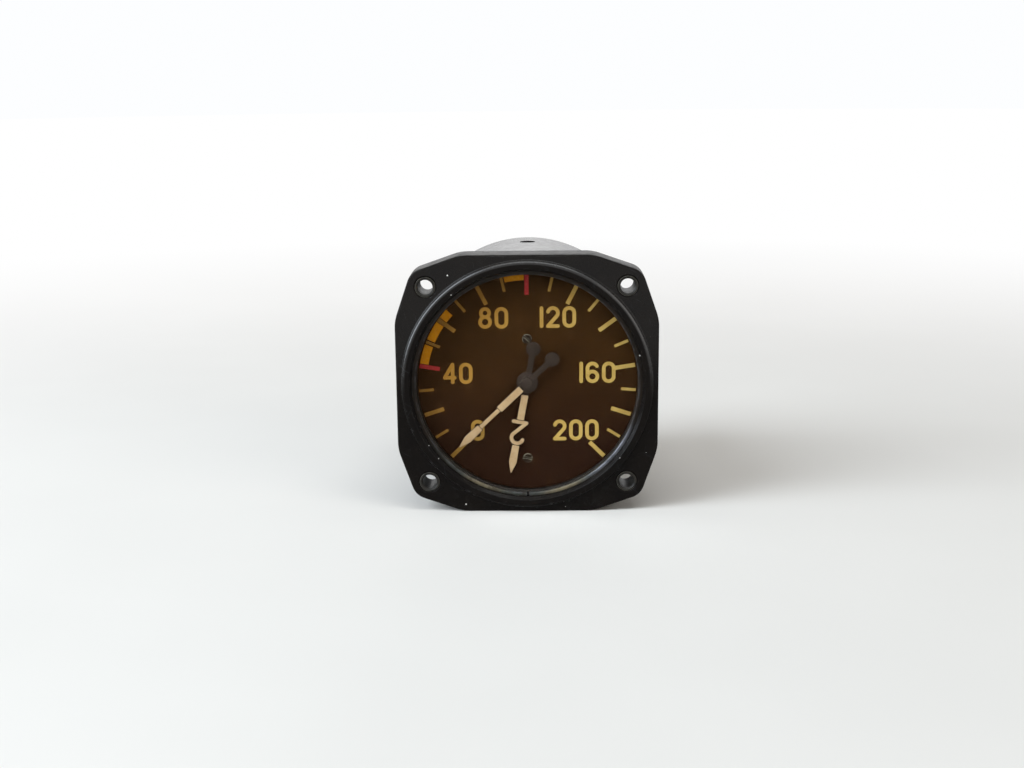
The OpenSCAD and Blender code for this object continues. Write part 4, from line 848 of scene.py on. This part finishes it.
def figureTwoOutline(start, end):
    wide, radius, foot = pointer["twoWide"], pointer["twoRadius"], pointer["twoFoot"]
    centre = Vector((0, end - wide / 2 - radius))
    first, last = pointer["bowl"]
    path = [centre + polar(radius, first + (last - first) * k / 22) for k in range(23)]
    path += [Vector((-foot, start + wide / 2)), Vector((foot, start + wide / 2))]
    return strokeOutline(path, wide)


def makePointerPaint(number):
    side = number - 1
    half, shoulder, shoulderAt = pointer["wide"] / 2, pointer["shoulderWide"] / 2, pointer["shoulder"]
    start, end = pointer["figureStart"], pointer["figureEnd"]
    bar = barOutline(pointer["wide"], pointer["barStarts"][side], pointer["barEnd"])
    corner, bend = pointer["corner"], pointer["shoulderRound"]
    tip = roundCorners([(-half, end, corner), (half, end, corner), (shoulder, shoulderAt, bend),
                        (0, pointer["length"], corner), (-shoulder, shoulderAt, bend)], 3, 0.05)
    if number == 1:
        figure = barOutline(pointer["oneWide"], start, end - pointer["gap"])
    else:
        figure = figureTwoOutline(start, end - pointer["gap"])
    bm = bmesh.new()
    front, back = pointer["fronts"][side] - pointer["rise"], pointer["fronts"][side] - 0.001
    made = []
    for shape in (bar, tip, figure):
        made += addPlate(bm, [shape], front, back, pointer["dome"], plain, 4, 0.02)
    place(bm, made, rotation(pointer["rests"][side], "Y"))
    makePiece(f"pointer{number}Paint", bm, "pointer_cream", f"pointer_{number}_body",
              (f"pointer_{number}_paint",))


makeRing()
makeGlass()
makeGasket()
makeDialScrews()
makeHub()
makeCollar()
for number in (1, 2):
    makePointerPaint(number)
print("window and pointers made")


# Rear plate with its spigot and seal groove, and pockets for three screws into the pillars.
rear = {"radius": 36.09, "front": 56.5, "back": 59.7, "spigotFront": 42.5, "spigotIn": 33.69,
        "sealFront": 51.5, "sealBack": 53.5, "sealRadius": 35.09, "pocketFloor": 58.2, "pocket": 2.4,
        "screw": 1.2, "shank": 6.02, "socketAt": 26.0, "directions": (235, 305), "pillarAt": 16.6,
        "pillars": (30, 150, 270)}
socketSpots = [polar(rear["socketAt"], direction) for direction in rear["directions"]]
pillarSpots = [polar(rear["pillarAt"], direction) for direction in rear["pillars"]]


def makeRearBase():
    bm = bmesh.new()
    radius, front, floor = rear["radius"], rear["front"], rear["pocketFloor"]
    shanks = [circleLine(spot, rear["shank"], 64, True) for spot in socketSpots]
    pockets = [circleLine(spot, rear["pocket"], 40, True) for spot in pillarSpots]
    holes = [circleLine(spot, rear["screw"], 32, True) for spot in pillarSpots]
    outer = [circleLine((0, 0), radius, 200)]
    addPlate(bm, outer + shanks + pockets, floor, rear["back"], plain, (0.35, 0.35), 3, 0.05)
    outer = [circleLine((0, 0), radius - 0.01, 200)]
    addPlate(bm, outer + shanks + holes, front, floor - 0.004, (0.1, 0.1), plain, 2, 0.05)
    inside, out, deep, foot = rear["spigotIn"], radius - 0.005, rear["sealRadius"], front + 0.2
    spigotFront, sealFront, sealBack = rear["spigotFront"], rear["sealFront"], rear["sealBack"]
    line = [(inside, spigotFront, 0.3), (out, spigotFront, 0.4), (out, sealFront, 0.15),
            (deep, sealFront, 0.1), (deep, sealBack, 0.1), (out, sealBack, 0.15), (out, foot, 0),
            (inside, foot, 0)]
    spinLine(bm, roundCorners(line, 3, 0.05), 200)
    makePiece("rearBase", bm, "base_alloy", replaced=("rear_base",))


# The inlets: a post that carries the tube, a shoulder, and a shank threaded outside and in.
socket = {"post": 5.0, "fronts": (22.1, 11.1), "shoulder": 7.1, "shoulderFront": 53.5, "base": 56.5,
          "shank": 6.0, "back": 68.0, "inlet": 4.3, "inletFloor": 58.0, "restrictor": 1.7,
          "restrictorFloor": 55.2, "passage": 1.2, "passageFloors": (26.4, 15.4), "threadDepth": 0.32,
          "threadFade": 0.5, "outerPitch": 1.1, "outerThread": (63.9, 67.5), "outerStep": 0.11,
          "outerSteps": 34, "innerPitch": 1.3, "innerThread": (58.8, 67.4), "innerStep": 0.13,
          "innerSteps": 68}


# Thread form: the radius goes in or out and back once in a pitch, shifted by one pitch in a turn.
def threadShape(angle, radius, depth):
    threads = ((socket["shank"], socket["outerPitch"], socket["outerThread"], -1),
               (socket["inlet"], socket["innerPitch"], socket["innerThread"], 1))
    for root, pitch, (first, last), way in threads:
        if abs(radius - root) < 0.01 and first < depth < last:
            turn = (depth / pitch - angle / 360) % 1
            fade = min(1, (depth - first) / socket["threadFade"], (last - depth) / socket["threadFade"])
            return radius + way * fade * socket["threadDepth"] * (1 - abs(2 * turn - 1))
    return radius


def makeSocket(number):
    side = number - 1
    front, passageFloor = socket["fronts"][side], socket["passageFloors"][side]
    post, shoulder = socket["post"], socket["shoulder"]
    shoulderFront, base = socket["shoulderFront"], socket["base"]
    shank, inlet, back, floor = take(socket, "shank", "inlet", "back", "inletFloor")
    small, smallFloor, passage = take(socket, "restrictor", "restrictorFloor", "passage")
    outerStart, innerEnd = socket["outerThread"][0] - 0.1, socket["innerThread"][1]
    outside = [(0, front, 0), (post, front, 0.4), (post, shoulderFront, 0.3), (shoulder, shoulderFront, 0.3),
               (shoulder, base, 0.1), (shank, base, 0), (shank, outerStart, 0)]
    rim = [(shank, innerEnd, 0), (shank, back, 0.35), (inlet, back, 0.5), (inlet, innerEnd, 0)]
    inside = [(inlet, floor + 0.5, 0), (inlet, floor, 0.2), (small, floor, 0.1), (small, smallFloor, 0.1),
              (passage, smallFloor, 0.05), (passage, passageFloor, 0.1), (0, passageFloor, 0)]
    line = roundCorners(outside, 3, 0.05)
    line += [Vector((shank, outerStart + socket["outerStep"] * (k + 1))) for k in range(socket["outerSteps"])]
    line += roundCorners(rim, 3, 0.05)[1:-1]
    line += [Vector((inlet, innerEnd - socket["innerStep"] * k)) for k in range(socket["innerSteps"])]
    line += roundCorners(inside, 3, 0.05)
    bm = bmesh.new()
    spinLine(bm, line, 72, socketSpots[side], shape=threadShape)
    makePiece(f"socket{number}", bm, "movement_brass", replaced=(f"socket_{number}",), sharp=50)


nut = {"flats": 16.0, "front": 59.7, "back": 63.6, "bore": 6.02, "blank": 8.2, "crown": 0.25,
       "crownSlope": 1.9, "crownDepth": 0.9, "crownFrom": 1.6, "boreEdge": 0.45, "rim": 0.7}


# A round blank becomes a hexagon whose corners are turned off at the back.
def nutShape(angle, radius, depth):
    across = nut["flats"] / 2 / math.cos(math.radians(angle % 60 - 30))
    crown = nut["flats"] / 2 - nut["crown"] + nut["crownSlope"] * (nut["back"] - depth)
    return min(across, crown) if radius > nut["flats"] / 2 - 0.1 else radius


def makeNuts():
    bm = bmesh.new()
    bore, blank, front, back = take(nut, "bore", "blank", "front", "back")
    edge = nut["boreEdge"]
    line = [(bore, front), (blank, front), (blank, back - nut["crownFrom"])]
    line += [(blank, back - nut["crownDepth"] * (12 - k) / 12) for k in range(13)]
    line += [(blank - nut["rim"], back), (bore + edge, back), (bore, back - edge)]
    for spot in socketSpots:
        spinLine(bm, line, 120, spot, shape=nutShape)
    makePiece("inletNuts", bm, "movement_brass", replaced=("inlet_nuts",), sharp=24)


baseScrew = {"radius": 2.2, "head": 59.5, "floor": 58.205, "end": 51.5, "shank": 1.19, "sunk": 0.015,
             "tipRound": 0.2, "slot": 0.7, "slotDepth": 0.65, "edge": 0.25, "turns": (25, 80, -10)}


def makeBaseScrews():
    bm = bmesh.new()
    toBack = rotation(180, "Z")
    for spot, turned in zip(pillarSpots, baseScrew["turns"]):
        made = addScrew(bm, baseScrew, -baseScrew["head"], -baseScrew["floor"], -baseScrew["end"])
        place(bm, made, Matrix.Translation((spot.x, 0, spot.y)) @ toBack @ rotation(turned, "Y"))
    makePiece("baseScrews", bm, "arbor_steel", replaced=("base_screws",))


# Countersunk screws, with their slots cut across.
def makeCaseScrews():
    bm, slots = bmesh.new(), bmesh.new()
    top, head, shank, tip = -caseScrew["top"], caseScrew["head"], caseScrew["shank"], -caseScrew["tip"]
    line = [(0, top, 0), (head, top, 0.06), (shank, top + head - shank, 0), (shank, tip, 0.3), (0, tip, 0)]
    size = Matrix.Diagonal((3 * head, 2 * caseScrew["slotDepth"], caseScrew["slot"], 1))
    for quarter, turned in enumerate(caseScrew["turns"]):
        here = radialPlace(quarter) @ rotation(turned, "Y")
        place(bm, spinLine(bm, roundCorners(line, 3, 0.05), 48), here)
        bmesh.ops.create_cube(slots, size=1, matrix=here @ Matrix.Translation((0, top, 0)) @ size)
    cutAway(makePiece("caseScrews", bm, "case_screw_black", replaced=("case_screws",)), slots)


# Flattened tubes that bend between their sockets and the moving tips.
tube = {"radius": 28.8, "thick": 3.2, "wide": 7.0, "depths": (26.4, 15.4), "ends": (35.77, 106.17)}


def makeTube(number):
    side = number - 1
    radius, depth, half = tube["radius"], tube["depths"][side], tube["thick"] / 2
    straight = tube["wide"] / 2 - half
    rootAngle, tipAngle = rear["directions"][side], tube["ends"][side]
    line = [Vector((radius, depth + straight)) + polar(half, 180 * k / 16) for k in range(17)]
    line += [Vector((radius, depth - straight)) + polar(half, 180 + 180 * k / 16) for k in range(17)]
    bm = bmesh.new()
    spinLine(bm, line, 96, start=tipAngle, sweep=rootAngle - tipAngle)
    piece = makePiece(f"pressureTube{number}", bm, "tube_bronze", replaced=(f"pressure_tube_{number}",))
    piece.parent = None
    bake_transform(piece)


makeRearBase()
for number in (1, 2):
    makeSocket(number)
makeNuts()
makeBaseScrews()
makeCaseScrews()
for number in (1, 2):
    makeTube(number)
print("rear and tubes made")


# The floor is a pale disc that fades to the white of the background, in metres.
stage = {"floor": -0.041275, "radius": 4.0, "whiteFrom": 0.12, "whiteAt": 0.75,
         "tones": ("e6e2dc", "eae6e0"), "ambient": 0.14}


# 1 for rays that see the background as white: those of the camera, of gloss and through glass.
def seenRays(tree):
    path = tree.nodes.new("ShaderNodeLightPath").outputs
    seen = mathNode(tree, "MAXIMUM", path["Is Camera Ray"], path["Is Glossy Ray"])
    return mathNode(tree, "MAXIMUM", seen, path["Is Transmission Ray"])


def makeFloor():
    bm = bmesh.new()
    lower = Matrix.Translation((0, 0, stage["floor"]))
    bmesh.ops.create_circle(bm, cap_ends=True, segments=96, radius=stage["radius"], matrix=lower)
    mesh = bpy.data.meshes.new("floor")
    bm.to_mesh(mesh)
    bm.free()
    floor = bpy.data.objects.new("floor", mesh)
    bpy.context.scene.collection.objects.link(floor)
    material, tree, shader, where = startMaterial("floor")
    tone = ramp(tree, noise(tree, where, 6.0, 3.0, 0.5), 0.3, 0.7)
    colour = mixColour(tree, tone, *paints(stage["tones"]))
    tree.links.new(colour, shader.inputs["Base Color"])
    shader.inputs["Roughness"].default_value = 0.8
    shader.inputs["Specular IOR Level"].default_value = 0.2
    glow = addNode(tree, "ShaderNodeEmission", {"Color": (1, 1, 1, 1), "Strength": 1.0}).outputs[0]
    far = ramp(tree, vectorNode(tree, "LENGTH", where), stage["whiteFrom"], stage["whiteAt"])
    mixShader(tree, shader, times(tree, seenRays(tree), far), glow)
    mesh.materials.append(material)


def makeWorld():
    world = bpy.data.worlds.new("studio")
    bpy.context.scene.world = world
    world.use_nodes = True
    tree = world.node_tree
    tree.nodes.clear()
    strength = ramp(tree, seenRays(tree), 0.0, 1.0, stage["ambient"], 1.0)
    light = addNode(tree, "ShaderNodeBackground", {"Color": (0.98, 0.99, 1.0, 1), "Strength": strength})
    tree.links.new(light.outputs[0], tree.nodes.new("ShaderNodeOutputWorld").inputs[0])


# Each lamp: place in metres, width, height, turn about its own beam, power, tone. The key draws the
# sheen along the lip's upper left, and the back lamp the one on the upper faces.
lamps = {"key": ((-1.1, -0.5, 0.66), 1.5, 0.6, 60, 27.0, (0.82, 0.91, 1.0)),
         "fill": ((1.1, -0.9, 0.5), 0.9, 0.9, 0, 5.0, (1.0, 0.94, 0.86)),
         "top": ((0.12, -0.42, 1.1), 1.0, 0.4, 0, 5.0, (0.94, 0.98, 1.0)),
         "back": ((0.0, 0.62, 0.235), 1.1, 0.2, 0, 1.1, (1.0, 0.99, 0.98))}


def makeLamps():
    for name, (spot, wide, high, turned, power, tone) in lamps.items():
        lamp = bpy.data.lights.new(name, "AREA")
        lamp.shape, lamp.size, lamp.size_y, lamp.energy, lamp.color = "RECTANGLE", wide, high, power, tone
        holder = bpy.data.objects.new(name, lamp)
        aim = (-Vector(spot)).to_track_quat("-Z", "Y").to_matrix().to_4x4()
        holder.matrix_world = Matrix.Translation(spot) @ aim @ rotation(turned, "Z")
        holder.visible_camera = False
        bpy.context.scene.collection.objects.link(holder)


view = {"lens": 49.44, "sensor": 36.0, "at": (4.85, -431.14, 98.54), "pitch": -12.799, "yaw": 1.276,
        "roll": 0.606}


def makeCamera():
    camera = bpy.data.cameras.new("camera")
    camera.lens, camera.sensor_width, camera.sensor_fit = view["lens"], view["sensor"], "HORIZONTAL"
    camera.clip_start, camera.clip_end = 0.01, 20
    holder = bpy.data.objects.new("camera", camera)
    bpy.context.scene.collection.objects.link(holder)
    level = rotation(90, "X")  # looks along +Y with Z up
    turn = rotation(view["yaw"], "Z") @ rotation(view["pitch"], "X") @ rotation(view["roll"], "Y")
    holder.matrix_world = Matrix.Translation(Vector(view["at"]) * milli) @ turn @ level
    bpy.context.scene.camera = holder


makeFloor()
makeWorld()
makeLamps()
makeCamera()
bpy.context.scene.view_settings.view_transform = "Standard"
print("stage, lamps and camera made")
